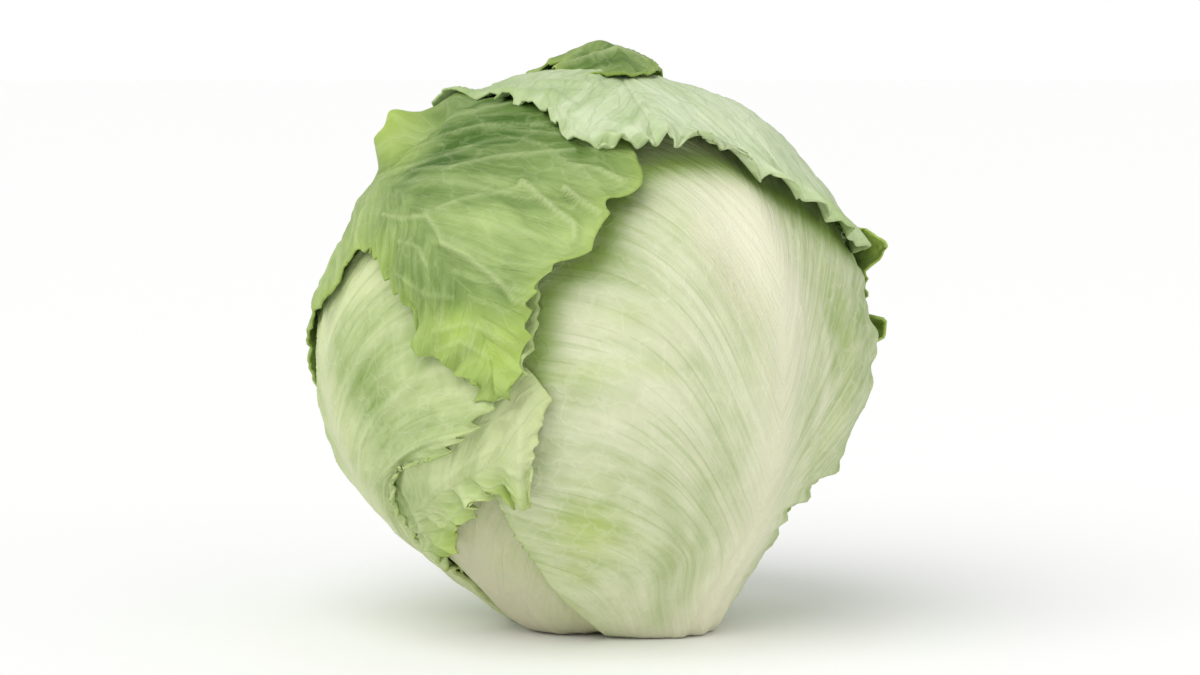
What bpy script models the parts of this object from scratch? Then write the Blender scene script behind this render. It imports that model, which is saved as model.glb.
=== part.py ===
"""Head of iceberg lettuce standing on its cut stem.

The head is a stack of cupped leaves round a conical core. Every leaf is laid out on the head in two angles,
seen from the head's centre: the azimuth (0 at the front, -Y, growing towards +X) and the polar angle
(0 at the stem, 180 at the crown). A third number says how many leaves deep it lies under the outer form.
"""

import math

import bmesh
import bpy
import numpy as np
from mathutils import Matrix

# Driving dimensions, in metres and degrees
HEAD_RADIUS = 0.080  # of the outer form, at its widest
CENTRE_HEIGHT = 0.080  # of the head's centre above the knife cut
LEAN = math.radians(7.8)  # of the head's axis off the vertical, towards -X
STEM_RADIUS = 0.016  # of the core where it is cut
CORE_TO_BUD = 0.0067  # between the top of the core and the heart bud
BLADE = 0.0011  # thickness of an outer leaf between its veins
LEAF_GAP = 0.0009  # air between one leaf and the next
HEART_BLADE = 0.0016  # thickness of a heart leaf
HEART_LEAVES = 8
BUD_RADIUS = 0.022
CLEARANCE = 0.0004  # between a leaf's foot and the core, at the innermost leaf
CUT_ROUNDING = 0.007  # over this, the outer form turns round into the cut

# What follows from them
PITCH = BLADE + LEAF_GAP
CENTRE_DISTANCE = CENTRE_HEIGHT / math.cos(LEAN)  # from the cut to the centre, along the leaning axis
CORE_HEIGHT = CENTRE_DISTANCE - BUD_RADIUS - CORE_TO_BUD
OUTER_LAYERS = 5.8  # the outer leaves fill this many pitches
HEART_RADIUS = HEAD_RADIUS - OUTER_LAYERS * PITCH - LEAF_GAP
HEART_PITCH = (HEART_RADIUS - BUD_RADIUS - LEAF_GAP) / HEART_LEAVES
INNERMOST_RADIUS = HEART_RADIUS - (HEART_LEAVES - 1) * HEART_PITCH - HEART_BLADE
CORE_ANGLE = math.degrees(math.atan(STEM_RADIUS / CENTRE_DISTANCE))
FOOT_POLAR = CORE_ANGLE + math.degrees(CLEARANCE / INNERMOST_RADIUS)
DRAWN_FOOT = 12.0  # polar angle at which the leaf tables below start

# The outer form as (polar angle, share of the head's radius): a ball that draws in to a cone above the stem
PROFILE = [
    (0, 1.13), (12, 1.12), (17, 1.09), (22, 1.045), (30, 0.983), (38, 0.95), (46, 0.935),
    (54, 0.945), (62, 0.96), (75, 0.988), (90, 1.0), (110, 1.003), (135, 0.99), (160, 0.985), (180, 0.975),
]

# Each leaf has three rails from its foot to its tip: the midrib and the margins on either side of it.
# A rail's points are (azimuth, polar angle, leaves deep). rib is how far the midrib's foot stands out.
OUTER_LEAVES = {
    "front_leaf": {
        "rib": 0.0024,
        "midrib": [(46, 12, 0), (40, 30, 0), (45, 45, 0.3), (42, 60, 1.0), (41, 78, 1.6), (43, 92, 2.0),
                   (46, 108, 2.8), (49, 125, 3.7), (48, 140, 4.2), (45, 151, 4.3)],
        "left": [(-12, 12, 0.1), (-16, 24, 0.1), (-25, 34, 0.2), (-26, 46, 0.7), (-27, 60, 1.5),
                 (-28, 75, 2.4), (-28, 90, 3.3), (-24, 110, 4.2), (-12, 130, 4.3), (10, 146, 4.3),
                 (30, 153, 4.3)],
        "right": [(98, 12, 0), (92, 25, 0), (78, 37, 0), (67, 47, -0.3), (74, 56, -1.0), (82, 64, -1.3),
                  (86, 76, -1.0), (88, 90, 0), (90, 103, 1.5), (86, 120, 3.5), (75, 138, 4.2),
                  (60, 150, 4.3)],
    },
    "base_leaf": {
        "rib": 0.0010,
        "midrib": [(-55, 12, 0.1), (-56, 30, 0.3), (-54, 42, 0.8), (-54, 52, 1.4), (-52, 75, 3.7),
                   (-48, 100, 5.1), (-42, 140, 5.2)],
        "left": [(-78, 12, 0.1), (-78, 23, 0.5), (-82, 34, 2.4), (-88, 44, 3.1), (-96, 57, 3.6),
                 (-100, 75, 4.3), (-92, 100, 5.2), (-65, 142, 5.2)],
        "right": [(-20, 12, 0.2), (-20, 20, 0.9), (-15, 30, 1.6), (-12, 50, 2.4), (-10, 75, 3.8),
                  (-10, 100, 5.2), (-20, 140, 5.3)],
    },
    "flap_leaf": {
        "rib": 0.0004,
        "midrib": [(-118, 12, 1.3), (-112, 30, 2.0), (-95, 46, 1.9), (-72, 56, 1.4), (-46, 65, 0.6),
                   (-28, 72, 0.3), (-12, 78, 0.2)],
        "left": [(-138, 12, 1.5), (-136, 40, 2.6), (-122, 65, 3.2), (-95, 85, 3.2), (-60, 95, 3.0),
                 (-30, 97, 2.5), (-13, 93, 2.1), (-8, 86, 1.7)],
        "right": [(-98, 12, 1.2), (-94, 26, 1.4), (-84, 38, 1.2), (-68, 46, 0.6), (-52, 52, 0.2),
                  (-37, 60, -0.2), (-28, 67, -0.3), (-23, 68, 0), (-19, 64, 0.2), (-15, 70, 0.2)],
    },
    "left_leaf": {
        "rib": 0.0020,
        "midrib": [(-100, 12, 0), (-96, 30, 0), (-84, 45, 0.1), (-72, 60, 0.2), (-69, 76, 0.6),
                   (-68, 90, 0.9), (-68, 105, 1.2), (-65, 125, 2.3), (-58, 143, 2.8)],
        "left": [(-114, 12, 0.1), (-112, 23, 0.3), (-116, 34, 1.0), (-124, 48, 1.3), (-130, 75, 2.0),
                 (-132, 95, 2.1), (-125, 115, 2.3), (-108, 133, 2.8), (-80, 145, 2.9)],
        "right": [(-86, 12, 0.1), (-82, 28, -0.1), (-72, 43, -0.5), (-58, 60, -0.8), (-51, 69, -0.9),
                  (-42, 76, -0.8), (-34, 77, -0.7), (-28, 80, -0.7), (-20, 85, -0.5), (-13, 90, 0.2),
                  (-8, 102, 1.3), (-10, 120, 2.4), (-22, 136, 2.9), (-38, 146, 2.9)],
    },
    "shoulder_leaf": {
        "rib": 0.0020,
        "midrib": [(-134, 12, 0), (-134, 40, -0.2), (-132, 75, 0.2), (-118, 108, 0.3), (-94, 131, -1.2),
                   (-55, 133, 0.7), (-30, 117, 0.1), (-19, 104, -0.2), (-14, 92, -0.6)],
        "left": [(-146, 12, 0), (-148, 24, 0.5), (-158, 42, 1.3), (-165, 75, 1.2), (-168, 110, 1.3),
                 (-160, 140, 1.3), (-120, 166, 1.1), (0, 166, 1.1), (18, 150, 1.1), (21, 134, 0.8),
                 (17, 125, 0.3), (7, 121, -0.1), (4, 115, -0.3), (-3, 111, -0.4), (-6, 106, -0.5),
                 (-10, 97, -0.6), (-11, 91, -0.7)],
        "right": [(-119, 12, 0), (-120, 24, -0.2), (-117, 35, -0.8), (-108, 68, 0.2), (-88, 92, 0.1),
                  (-66, 104, 0.1), (-61, 115, 0.3), (-50, 118, 0.3), (-44, 114, 0.2), (-40, 110, 0),
                  (-33, 105, -0.2), (-32, 97, -0.4), (-25, 96, -0.6), (-18, 94, -0.7)],
    },
    "cap_leaf": {
        "rib": 0.0012,
        "midrib": [(152, 12, 0.1), (154, 40, 0.7), (156, 80, 0.7), (155, 120, 0.3), (140, 155, 0),
                   (60, 165, -0.1), (36, 150, -0.1), (28, 134, -0.2)],
        "left": [(138, 12, 0.1), (136, 26, 0.1), (134, 42, 0.3), (128, 65, 0.4), (116, 84, 0.2),
                 (100, 95, 0), (88, 99, -0.4), (70, 109, -0.4), (58, 116, -0.4), (50, 126, -0.3),
                 (43, 133, -0.3)],
        "right": [(170, 12, 0.1), (173, 26, 0.5), (178, 42, 0.9), (-175, 75, 0.6), (-160, 108, 0),
                  (-138, 132, -0.1), (-120, 142, -1.0), (-102, 147, -2.8), (-84, 151, -2.8),
                  (-60, 157, -1.4), (-37, 161, -0.4), (-20, 155, -0.2), (-8, 149, -0.2), (1, 140, -0.3),
                  (13, 135, -0.3)],
    },
    "right_leaf": {
        "rib": 0.0004,
        "midrib": [(121, 12, 0.1), (124, 40, 0.8), (128, 75, 1.6), (126, 105, 1.6), (118, 138, 1.8)],
        "left": [(106, 12, 0.1), (104, 28, 0.1), (96, 45, 0), (93, 56, -1.2), (94, 68, -1.7),
                 (92, 80, -2.0), (97, 88, -0.5), (101, 94, 1.0), (100, 104, 1.3), (102, 118, 1.6),
                 (106, 130, 1.8), (110, 140, 1.9)],
        "right": [(131, 12, 0.2), (133, 24, 1.2), (142, 40, 1.8), (152, 75, 1.9), (150, 105, 1.9),
                  (132, 138, 1.9)],
    },
    "inner_right_leaf": {
        "rib": 0.0004,
        "midrib": [(96, 12, 1.3), (97, 40, 1.8), (97, 75, 2.7), (96, 105, 3.4), (90, 135, 5.2)],
        "left": [(72, 12, 1.3), (62, 40, 1.8), (56, 75, 3.5), (56, 105, 4.5), (62, 132, 5.3)],
        "right": [(118, 12, 1.3), (132, 40, 2.6), (140, 75, 3.1), (136, 105, 3.2), (116, 135, 5.2)],
    },
    "back_leaf": {
        "rib": 0.0004,
        "midrib": [(165, 12, 1.3), (168, 40, 2.2), (172, 75, 2.8), (175, 105, 3.0), (178, 140, 3.2)],
        "left": [(145, 12, 1.4), (150, 40, 2.6), (150, 75, 2.9), (150, 105, 3.0), (155, 140, 3.2)],
        "right": [(-172, 12, 1.4), (-160, 40, 2.2), (-152, 75, 2.5), (-150, 105, 2.7), (-158, 140, 3.1)],
    },
    "crown_leaf": {
        "rib": 0.0016,
        "midrib": [(-166, 12, 0), (-168, 40, -0.6), (-172, 80, -1.0), (-176, 120, -1.1), (-178, 150, -1.3),
                   (180, 168, -3.0), (170, 176, -4.5)],
        "left": [(-180, 12, 0), (172, 40, -0.6), (164, 80, -0.5), (160, 115, -0.8), (150, 145, -1.1),
                 (120, 165, -2.0), (110, 172, -4.0)],
        "right": [(-157, 12, 0), (-157, 25, -0.8), (-152, 40, -1.1), (-150, 80, -0.8), (-152, 115, -1.1),
                  (-155, 142, -1.4), (-150, 160, -2.4), (-150, 171, -4.0)],
    },
}

# A heart leaf, about its own midrib: its azimuths are added to the leaf's place round the core
HEART_RAILS = {
    "midrib": [(0, 15, 0), (0, 50, 0), (0, 95, 0), (0, 135, 0), (0, 162, 0)],
    "left": [(-58, 15, 0), (-66, 40, 0), (-74, 80, 0), (-72, 115, 0), (-52, 150, 0)],
    "right": [(58, 15, 0), (66, 40, 0), (74, 80, 0), (72, 115, 0), (52, 150, 0)],
}
HEART_RIB = 0.0014
HEART_TURN = 137.5  # azimuth from one heart leaf to the next, as leaves grow round a stem

OUTER_FLATNESS = 0.0003  # how far the middle of a flat cell may lie under the curved leaf
HEART_FLATNESS = 0.0006
COLUMN_CROWDING = 1.15  # columns crowd towards the midrib by this power
ROW_CROWDING = 1.2  # and rows towards the foot
RIB_HALF_WIDTH = (15.0, 2.5)  # degrees at the foot and at the tip
CLASP_END = 0.3  # up to this share of its length, a leaf's rows run round the core

LEAF_GREEN = (0.40, 0.58, 0.24, 1.0)
PALE_GREEN = (0.62, 0.74, 0.44, 1.0)
HEART_YELLOW = (0.78, 0.80, 0.50, 1.0)
STEM_CREAM = (0.83, 0.78, 0.62, 1.0)


def clear_scene():
    for obj in list(bpy.data.objects):
        bpy.data.objects.remove(obj, do_unlink=True)


def make_collection(name):
    collection = bpy.data.collections.new(name)
    bpy.context.scene.collection.children.link(collection)
    return collection


def plain_material(name, colour, roughness):
    material = bpy.data.materials.new(name)
    material.use_nodes = True
    shader = material.node_tree.nodes["Principled BSDF"]
    shader.inputs["Base Color"].default_value = colour
    shader.inputs["Roughness"].default_value = roughness
    shader.inputs["Metallic"].default_value = 0.0
    material.diffuse_color = colour
    return material


def smooth_step(value):
    value = np.clip(value, 0.0, 1.0)
    return value * value * (3 - 2 * value)


def unit(vectors):
    return vectors / np.linalg.norm(vectors, axis=-1, keepdims=True)


def direction(azimuth, polar):
    """Unit vectors in the head's own frame, whose -Z points at the stem, from angles in degrees."""
    azimuth, polar = np.radians(azimuth), np.radians(polar)
    across = np.sin(polar)
    return np.stack([across * np.sin(azimuth), -across * np.cos(azimuth), -np.cos(polar)], axis=-1)


def angles(directions):
    """Azimuth and polar angle in degrees."""
    azimuth = np.degrees(np.arctan2(directions[..., 0], -directions[..., 1]))
    return azimuth, np.degrees(np.arccos(np.clip(-directions[..., 2], -1.0, 1.0)))


def smooth_curve(stations, values, at):
    """A cubic curve through values at stations, read at other stations."""
    stations, values = np.asarray(stations, float), np.asarray(values, float)
    if values.ndim == 1:
        return smooth_curve(stations, values[:, None], at)[..., 0]
    slopes = np.gradient(values, stations, axis=0)
    span = np.clip(np.searchsorted(stations, at, side="right") - 1, 0, len(stations) - 2)
    width = (stations[span + 1] - stations[span])[..., None]
    t = (np.asarray(at)[..., None] - stations[span][..., None]) / width
    start, end = values[span], values[span + 1]
    leave, arrive = slopes[span] * width, slopes[span + 1] * width
    return (
        start * (1 + 2 * t) * (1 - t) ** 2
        + leave * t * (1 - t) ** 2
        + end * t * t * (3 - 2 * t)
        + arrive * t * t * (t - 1)
    )


def rail_points(points, turn):
    """A rail's points as unit directions, how many leaves deep each lies, and the angles between them."""
    azimuth, polar, deep = np.array(points, float).T
    polar = FOOT_POLAR + (polar - DRAWN_FOOT) * (180.0 - FOOT_POLAR) / (180.0 - DRAWN_FOOT)
    ways = direction(azimuth + turn, polar)
    return ways, deep, np.arccos(np.clip((ways[1:] * ways[:-1]).sum(axis=1), -1.0, 1.0))


def rail_curve(points, turn, along):
    """(unit directions, leaves deep) along a rail, evenly by the angle it covers."""
    ways, deep, steps = rail_points(points, turn)
    stations = np.concatenate([[0.0], np.cumsum(steps)]) / steps.sum()
    read = smooth_curve(stations, np.column_stack([ways, deep]), along)
    return unit(read[..., :3]), read[..., 3]


def between(middle, side, share, along):
    """Directions a share of the way from the midrib to a margin. At the foot they run round the core."""
    angle = np.arccos(np.clip((middle * side).sum(axis=-1), -1.0, 1.0))[..., None]
    part = share[..., None]
    arc = (np.sin((1 - part) * angle) * middle + np.sin(part * angle) * side) / np.sin(angle)
    middle_azimuth, middle_polar = angles(middle)
    side_azimuth, side_polar = angles(side)
    turned = (side_azimuth - middle_azimuth + 180.0) % 360.0 - 180.0
    ring = direction(middle_azimuth + share * turned, middle_polar + share * (side_polar - middle_polar))
    straight = smooth_step(along / CLASP_END)[..., None]
    return unit(ring * (1 - straight) + arc * straight)


def lean(points):
    """Turns vectors from the head's own frame into the upright one."""
    across, up = math.cos(LEAN), math.sin(LEAN)
    return np.stack(
        [
            points[..., 0] * across - points[..., 2] * up,
            points[..., 1],
            points[..., 0] * up + points[..., 2] * across,
        ],
        axis=-1,
    )


def cut_distance(directions):
    """Distance from the centre to the plane of the knife cut, far away where it is never met."""
    down = -lean(directions)[..., 2]
    return np.where(down > 0.05, CENTRE_HEIGHT / np.maximum(down, 0.05), 1.0)


def outer_form(directions):
    """Distance from the centre to the head's outer form, which turns round into the knife cut."""
    stations, shares = np.array(PROFILE, float).T
    ball = HEAD_RADIUS * smooth_curve(stations, shares, angles(directions)[1])
    cut = cut_distance(directions)
    share = np.clip(0.5 + 0.5 * (cut - ball) / CUT_ROUNDING, 0.0, 1.0)
    return ball * share + cut * (1 - share) - CUT_ROUNDING * share * (1 - share)


def layer_form(directions, radius):
    """Distance from the centre to a layer of this radius, between the bud's ball and the outer form."""
    share = (radius - BUD_RADIUS) / (HEAD_RADIUS - BUD_RADIUS)
    return BUD_RADIUS + (outer_form(directions) - BUD_RADIUS) * share


def rib_height(along, across, foot_height):
    """How far a midrib stands out of the blade: high and broad at the foot, fine at the tip."""
    half_width = RIB_HALF_WIDTH[0] + (RIB_HALF_WIDTH[1] - RIB_HALF_WIDTH[0]) * np.sqrt(along)
    return foot_height * (1 - along) ** 1.5 * np.exp(-((across / half_width) ** 2))


def leaf_surface(rails, turn, radius, rib, along, across):
    """Points of a leaf's outer face, upright and in metres, and how far its rib stands out at each."""
    middle, middle_deep = rail_curve(rails["midrib"], turn, along)
    left, left_deep = rail_curve(rails["left"], turn, along)
    right, right_deep = rail_curve(rails["right"], turn, along)
    is_right = across > 0
    side = np.where(is_right[..., None], right, left)
    side_deep = np.where(is_right, right_deep, left_deep)
    share = np.abs(across)
    ways = between(middle, side, share, along)
    deep = middle_deep + (side_deep - middle_deep) * share**1.5
    off_midrib = np.degrees(np.arccos(np.clip((middle * ways).sum(axis=-1), -1.0, 1.0)))
    blade = layer_form(ways, radius) - deep * PITCH
    outside = np.minimum(blade + rib_height(along, off_midrib, rib), cut_distance(ways))
    points = lean(ways * outside[..., None])
    points[..., 0] -= CENTRE_HEIGHT * math.tan(LEAN)
    points[..., 2] += CENTRE_HEIGHT
    return points, outside - np.minimum(blade, outside)


def leaf_cells(rails, step):
    """How many columns and rows of cells cover a leaf in steps of this angle."""
    along = np.linspace(0.0, 1.0, 9)
    middle, left, right = (rail_curve(rails[rail], 0.0, along)[0] for rail in ("midrib", "left", "right"))
    half_width = max(np.arccos((middle * margin).sum(axis=1)).max() for margin in (left, right))
    length = rail_points(rails["midrib"], 0.0)[2].sum()
    return 2 * math.ceil(half_width / step), math.ceil(length / step)


def leaf_object(name, collection, material, rails, flatness, thickness, rib, turn=0.0, radius=HEAD_RADIUS):
    """A leaf: a grid laid on the head between its rails, with its thickness grown inwards."""
    columns, rows = leaf_cells(rails, 2 * math.acos(1 - flatness / radius))
    work = bmesh.new()
    bmesh.ops.create_grid(work, x_segments=columns, y_segments=rows, size=1.0)
    mesh = bpy.data.meshes.new(name)
    work.to_mesh(mesh)
    work.free()
    flat = np.empty(len(mesh.vertices) * 3, np.float32)
    mesh.vertices.foreach_get("co", flat)
    flat = flat.reshape(-1, 3).astype(float)
    across = np.sign(flat[:, 0]) * np.abs(flat[:, 0]) ** COLUMN_CROWDING
    along = ((flat[:, 1] + 1) / 2) ** ROW_CROWDING
    points, stands_out = leaf_surface(rails, turn, radius, rib, along, across)
    mesh.vertices.foreach_set("co", points.astype(np.float32).ravel())
    mesh.materials.append(material)
    mesh.shade_smooth()
    leaf = bpy.data.objects.new(name, mesh)
    collection.objects.link(leaf)
    thick = leaf.vertex_groups.new(name="thick")
    for index, height in enumerate(stands_out):
        thick.add([index], (thickness + height) / (thickness + rib), "REPLACE")
    shell = leaf.modifiers.new("thickness", "SOLIDIFY")
    shell.thickness = thickness + rib
    shell.offset = -1.0
    shell.vertex_group = "thick"
    shell.thickness_vertex_group = 0.0
    return leaf


def leaning_matrix(distance):
    """Stands something on the head's axis, this far from the centre towards the stem."""
    centre = Matrix.Translation((-CENTRE_HEIGHT * math.tan(LEAN), 0.0, CENTRE_HEIGHT))
    return centre @ Matrix.Rotation(-LEAN, 4, "Y") @ Matrix.Translation((0.0, 0.0, -distance))


def cut_core(collection, cutters, material):
    """The core: a cone that points at the head's centre, rounded on top and cut level by the knife."""
    below = STEM_RADIUS * math.tan(LEAN) * 3
    turn_steps, round_steps = 32, 5
    foot = STEM_RADIUS * (1 + below / CENTRE_DISTANCE)
    tip = STEM_RADIUS * (1 - CORE_HEIGHT / CENTRE_DISTANCE)
    shoulder = CORE_HEIGHT - tip
    waist = STEM_RADIUS * (1 - shoulder / CENTRE_DISTANCE)
    quarter = np.linspace(0.0, math.pi / 2, round_steps)
    profile = [(waist * math.sin(a), shoulder + tip * math.cos(a)) for a in quarter]
    profile += [((waist + foot) / 2, (shoulder - below) / 2), (foot, -below), (0.0, -below)]
    mesh = bpy.data.meshes.new("cut_stem")
    mesh.from_pydata([(x, 0.0, z) for x, z in profile], [(i, i + 1) for i in range(len(profile) - 1)], [])
    mesh.materials.append(material)
    core = bpy.data.objects.new("cut_stem", mesh)
    core.matrix_world = leaning_matrix(CENTRE_DISTANCE)
    collection.objects.link(core)
    screw = core.modifiers.new("turned", "SCREW")
    screw.steps = screw.render_steps = turn_steps
    screw.use_merge_vertices = True
    screw.merge_threshold = 0.00005
    screw.use_smooth_shade = True
    knife_size = STEM_RADIUS * 8
    bpy.ops.mesh.primitive_cube_add(size=knife_size, location=(0.0, 0.0, -knife_size / 2))
    knife = bpy.context.object
    knife.name = "knife"
    knife.hide_render = True
    knife.display_type = "WIRE"
    for owner in knife.users_collection:
        owner.objects.unlink(knife)
    cutters.objects.link(knife)
    cut = core.modifiers.new("knife_cut", "BOOLEAN")
    cut.object = knife
    return core


def heart_bud(collection, material):
    """The innermost, unopened leaves: a small pointed ball with shallow folds, just above the core."""
    work = bmesh.new()
    bmesh.ops.create_uvsphere(work, u_segments=20, v_segments=12, radius=BUD_RADIUS)
    for vertex in work.verts:
        turn = math.atan2(vertex.co.y, vertex.co.x)
        height = vertex.co.z / BUD_RADIUS
        fold = 1 - 0.05 * (1 + math.sin(5 * turn + 4 * height)) * (1 - height * height)
        vertex.co.x *= fold
        vertex.co.y *= fold
    mesh = bpy.data.meshes.new("heart_bud")
    work.to_mesh(mesh)
    work.free()
    mesh.materials.append(material)
    mesh.shade_smooth()
    bud = bpy.data.objects.new("heart_bud", mesh)
    bud.matrix_world = leaning_matrix(0.0)
    collection.objects.link(bud)
    return bud


def build():
    clear_scene()
    lettuce = make_collection("head_of_lettuce")
    cutters = make_collection("cutters")
    green = plain_material("leaf_green", LEAF_GREEN, 0.45)
    pale = plain_material("leaf_pale", PALE_GREEN, 0.45)
    yellow = plain_material("leaf_heart", HEART_YELLOW, 0.5)
    cream = plain_material("stem_cream", STEM_CREAM, 0.6)
    pale_leaves = {"front_leaf", "base_leaf", "cap_leaf", "back_leaf", "inner_right_leaf"}
    for name, leaf in OUTER_LEAVES.items():
        material = pale if name in pale_leaves else green
        leaf_object(name, lettuce, material, leaf, OUTER_FLATNESS, BLADE, leaf["rib"])
    for index in range(HEART_LEAVES):
        leaf_object(
            f"heart_leaf_{index + 1:02d}", lettuce, yellow, HEART_RAILS, HEART_FLATNESS, HEART_BLADE,
            HEART_RIB, turn=index * HEART_TURN, radius=HEART_RADIUS - index * HEART_PITCH,
        )
    heart_bud(lettuce, yellow)
    cut_core(lettuce, cutters, cream)


build()
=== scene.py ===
import math

import bmesh
import bpy
import numpy as np
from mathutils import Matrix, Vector


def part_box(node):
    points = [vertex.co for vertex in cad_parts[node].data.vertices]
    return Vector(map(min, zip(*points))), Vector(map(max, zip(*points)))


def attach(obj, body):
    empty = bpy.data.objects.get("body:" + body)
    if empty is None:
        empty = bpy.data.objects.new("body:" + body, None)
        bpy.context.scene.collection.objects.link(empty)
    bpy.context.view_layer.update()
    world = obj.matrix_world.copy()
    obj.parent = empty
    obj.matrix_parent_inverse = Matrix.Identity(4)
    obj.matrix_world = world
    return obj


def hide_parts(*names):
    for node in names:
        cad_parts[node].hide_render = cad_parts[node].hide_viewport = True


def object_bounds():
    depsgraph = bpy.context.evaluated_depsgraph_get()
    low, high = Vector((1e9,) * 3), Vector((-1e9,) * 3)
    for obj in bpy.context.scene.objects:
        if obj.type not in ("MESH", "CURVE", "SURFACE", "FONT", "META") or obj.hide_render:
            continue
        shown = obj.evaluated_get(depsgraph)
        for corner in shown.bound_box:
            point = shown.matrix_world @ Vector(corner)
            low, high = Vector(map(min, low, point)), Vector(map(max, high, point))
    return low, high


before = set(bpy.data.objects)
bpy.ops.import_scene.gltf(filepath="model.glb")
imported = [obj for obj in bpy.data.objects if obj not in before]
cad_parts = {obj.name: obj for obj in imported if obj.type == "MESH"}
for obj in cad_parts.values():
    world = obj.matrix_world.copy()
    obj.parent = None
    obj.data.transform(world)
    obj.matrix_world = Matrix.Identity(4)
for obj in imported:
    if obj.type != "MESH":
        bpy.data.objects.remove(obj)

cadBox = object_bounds()
cadLow, cadHigh = Vector(cadBox[0]), Vector(cadBox[1])
print("lettuce: frame loaded,", len(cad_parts), "nodes")

# the head's form
budLow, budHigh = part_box("heart_bud")
headCentre = np.array([(budLow[0] + budHigh[0]) / 2, 0.0, (budLow[2] + budHigh[2]) / 2])
leanAngle = math.atan2(-headCentre[0], headCentre[2])
headRadius = (cadHigh.x - cadLow.x) * 0.4925  # a little under half its width
budRadius = (budHigh[2] - budLow[2]) / 2
layerPitch = headRadius / 40  # from one outer leaf to the next
cutRounding = 0.007
groundGap = 0.00002  # the least height above the ground
footPolar = 11.35  # degrees off the axis, where the leaves leave the core
drawnFoot = 12.0  # polar angle at which the tables below start
clearScale = (180.0 - footPolar) / (180.0 - drawnFoot)

# share of the head's radius at each polar angle, 0 at the stem and 180 at the crown
headProfile = np.array([
    (0, 1.13), (12, 1.12), (17, 1.09), (22, 1.045), (30, 0.983), (38, 0.95), (46, 0.935),
    (54, 0.945), (62, 0.96), (75, 0.988), (90, 1.0), (110, 1.003), (135, 0.99), (160, 0.985), (180, 0.975),
], float)


def smoothStep(value):
    value = np.clip(value, 0.0, 1.0)
    return value * value * (3 - 2 * value)


def directionOf(azimuth, polar):
    azimuth, polar = np.radians(azimuth), np.radians(polar)
    out = np.sin(polar)
    return np.stack([out * np.sin(azimuth), -out * np.cos(azimuth), -np.cos(polar)], axis=-1)


def anglesOf(ways):
    azimuth = np.degrees(np.arctan2(ways[..., 0], -ways[..., 1]))
    return azimuth, np.degrees(np.arccos(np.clip(-ways[..., 2], -1.0, 1.0)))


def unit(vectors):
    return vectors / np.linalg.norm(vectors, axis=-1, keepdims=True)


# a smooth curve through values at stations, read at other stations
def smoothCurve(stations, values, at):
    stations, values = np.asarray(stations, float), np.asarray(values, float)
    if values.ndim == 1:
        return smoothCurve(stations, values[:, None], at)[..., 0]
    slopes = np.gradient(values, stations, axis=0)
    span = np.clip(np.searchsorted(stations, at, side="right") - 1, 0, len(stations) - 2)
    width = (stations[span + 1] - stations[span])[..., None]
    t = (np.asarray(at)[..., None] - stations[span][..., None]) / width
    start, end = values[span], values[span + 1]
    leave, arrive = slopes[span] * width, slopes[span + 1] * width
    return (start * (1 + 2 * t) * (1 - t) ** 2 + leave * t * (1 - t) ** 2
            + end * t * t * (3 - 2 * t) + arrive * t * t * (t - 1))


def leaned(points):
    across, up = math.cos(leanAngle), math.sin(leanAngle)
    x, y, z = points[..., 0], points[..., 1], points[..., 2]
    return np.stack([x * across - z * up, y, x * up + z * across], axis=-1)


def cutDistance(ways):
    down = -leaned(ways)[..., 2]
    return np.where(down > 0.05, headCentre[2] / np.maximum(down, 0.05), 1.0)


def outerForm(ways):
    ball = headRadius * smoothCurve(headProfile[:, 0], headProfile[:, 1], anglesOf(ways)[1])
    cut = cutDistance(ways)
    share = np.clip(0.5 + 0.5 * (cut - ball) / cutRounding, 0.0, 1.0)
    return ball * share + cut * (1 - share) - cutRounding * share * (1 - share)


def layerForm(ways, radius):
    share = (radius - budRadius) / (headRadius - budRadius)
    return budRadius + (outerForm(ways) - budRadius) * share


# smooth random hills, the same on each run
hillTable = np.random.default_rng(11).random((256, 256)) * 2 - 1


def hills(x, y, seed=0):
    x, y = x + 37.13 * seed, y + 17.71 * seed
    column, row = np.floor(x).astype(int), np.floor(y).astype(int)
    fx, fy = x - column, y - row
    fx, fy = fx ** 3 * (fx * (fx * 6 - 15) + 10), fy ** 3 * (fy * (fy * 6 - 15) + 10)
    corner = [[hillTable[(column + i) % 256, (row + j) % 256] for j in (0, 1)] for i in (0, 1)]
    low = corner[0][0] * (1 - fx) + corner[1][0] * fx
    high = corner[0][1] * (1 - fx) + corner[1][1] * fx
    return low * (1 - fy) + high * fy


# distance to the nearest and second nearest of scattered points, one in each unit cell
def cells(x, y, seed=0):
    column, row = np.floor(x).astype(int), np.floor(y).astype(int)
    nearest, second = np.full(x.shape, 9.0), np.full(x.shape, 9.0)
    for i in (-1, 0, 1):
        for j in (-1, 0, 1):
            a, b = (column + i + 31 * seed) % 256, (row + j + 57 * seed) % 256
            px = column + i + 0.5 + 0.42 * hillTable[a, b]
            py = row + j + 0.5 + 0.42 * hillTable[b, a]
            gap = np.hypot(x - px, y - py)
            second = np.minimum(second, np.maximum(nearest, gap))
            nearest = np.minimum(nearest, gap)
    return nearest, second


# a leaf between its three rails
def railAt(points, turn, along):
    azimuth, polar, deep = np.array(points, float).T
    ways = directionOf(azimuth + turn, footPolar + (polar - drawnFoot) * clearScale)
    steps = np.arccos(np.clip((ways[1:] * ways[:-1]).sum(axis=1), -1.0, 1.0))
    stations = np.concatenate([[0.0], np.cumsum(steps)]) / steps.sum()
    read = smoothCurve(stations, np.column_stack([ways, deep]), along)
    return unit(read[..., :3]), read[..., 3], steps.sum()


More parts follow.
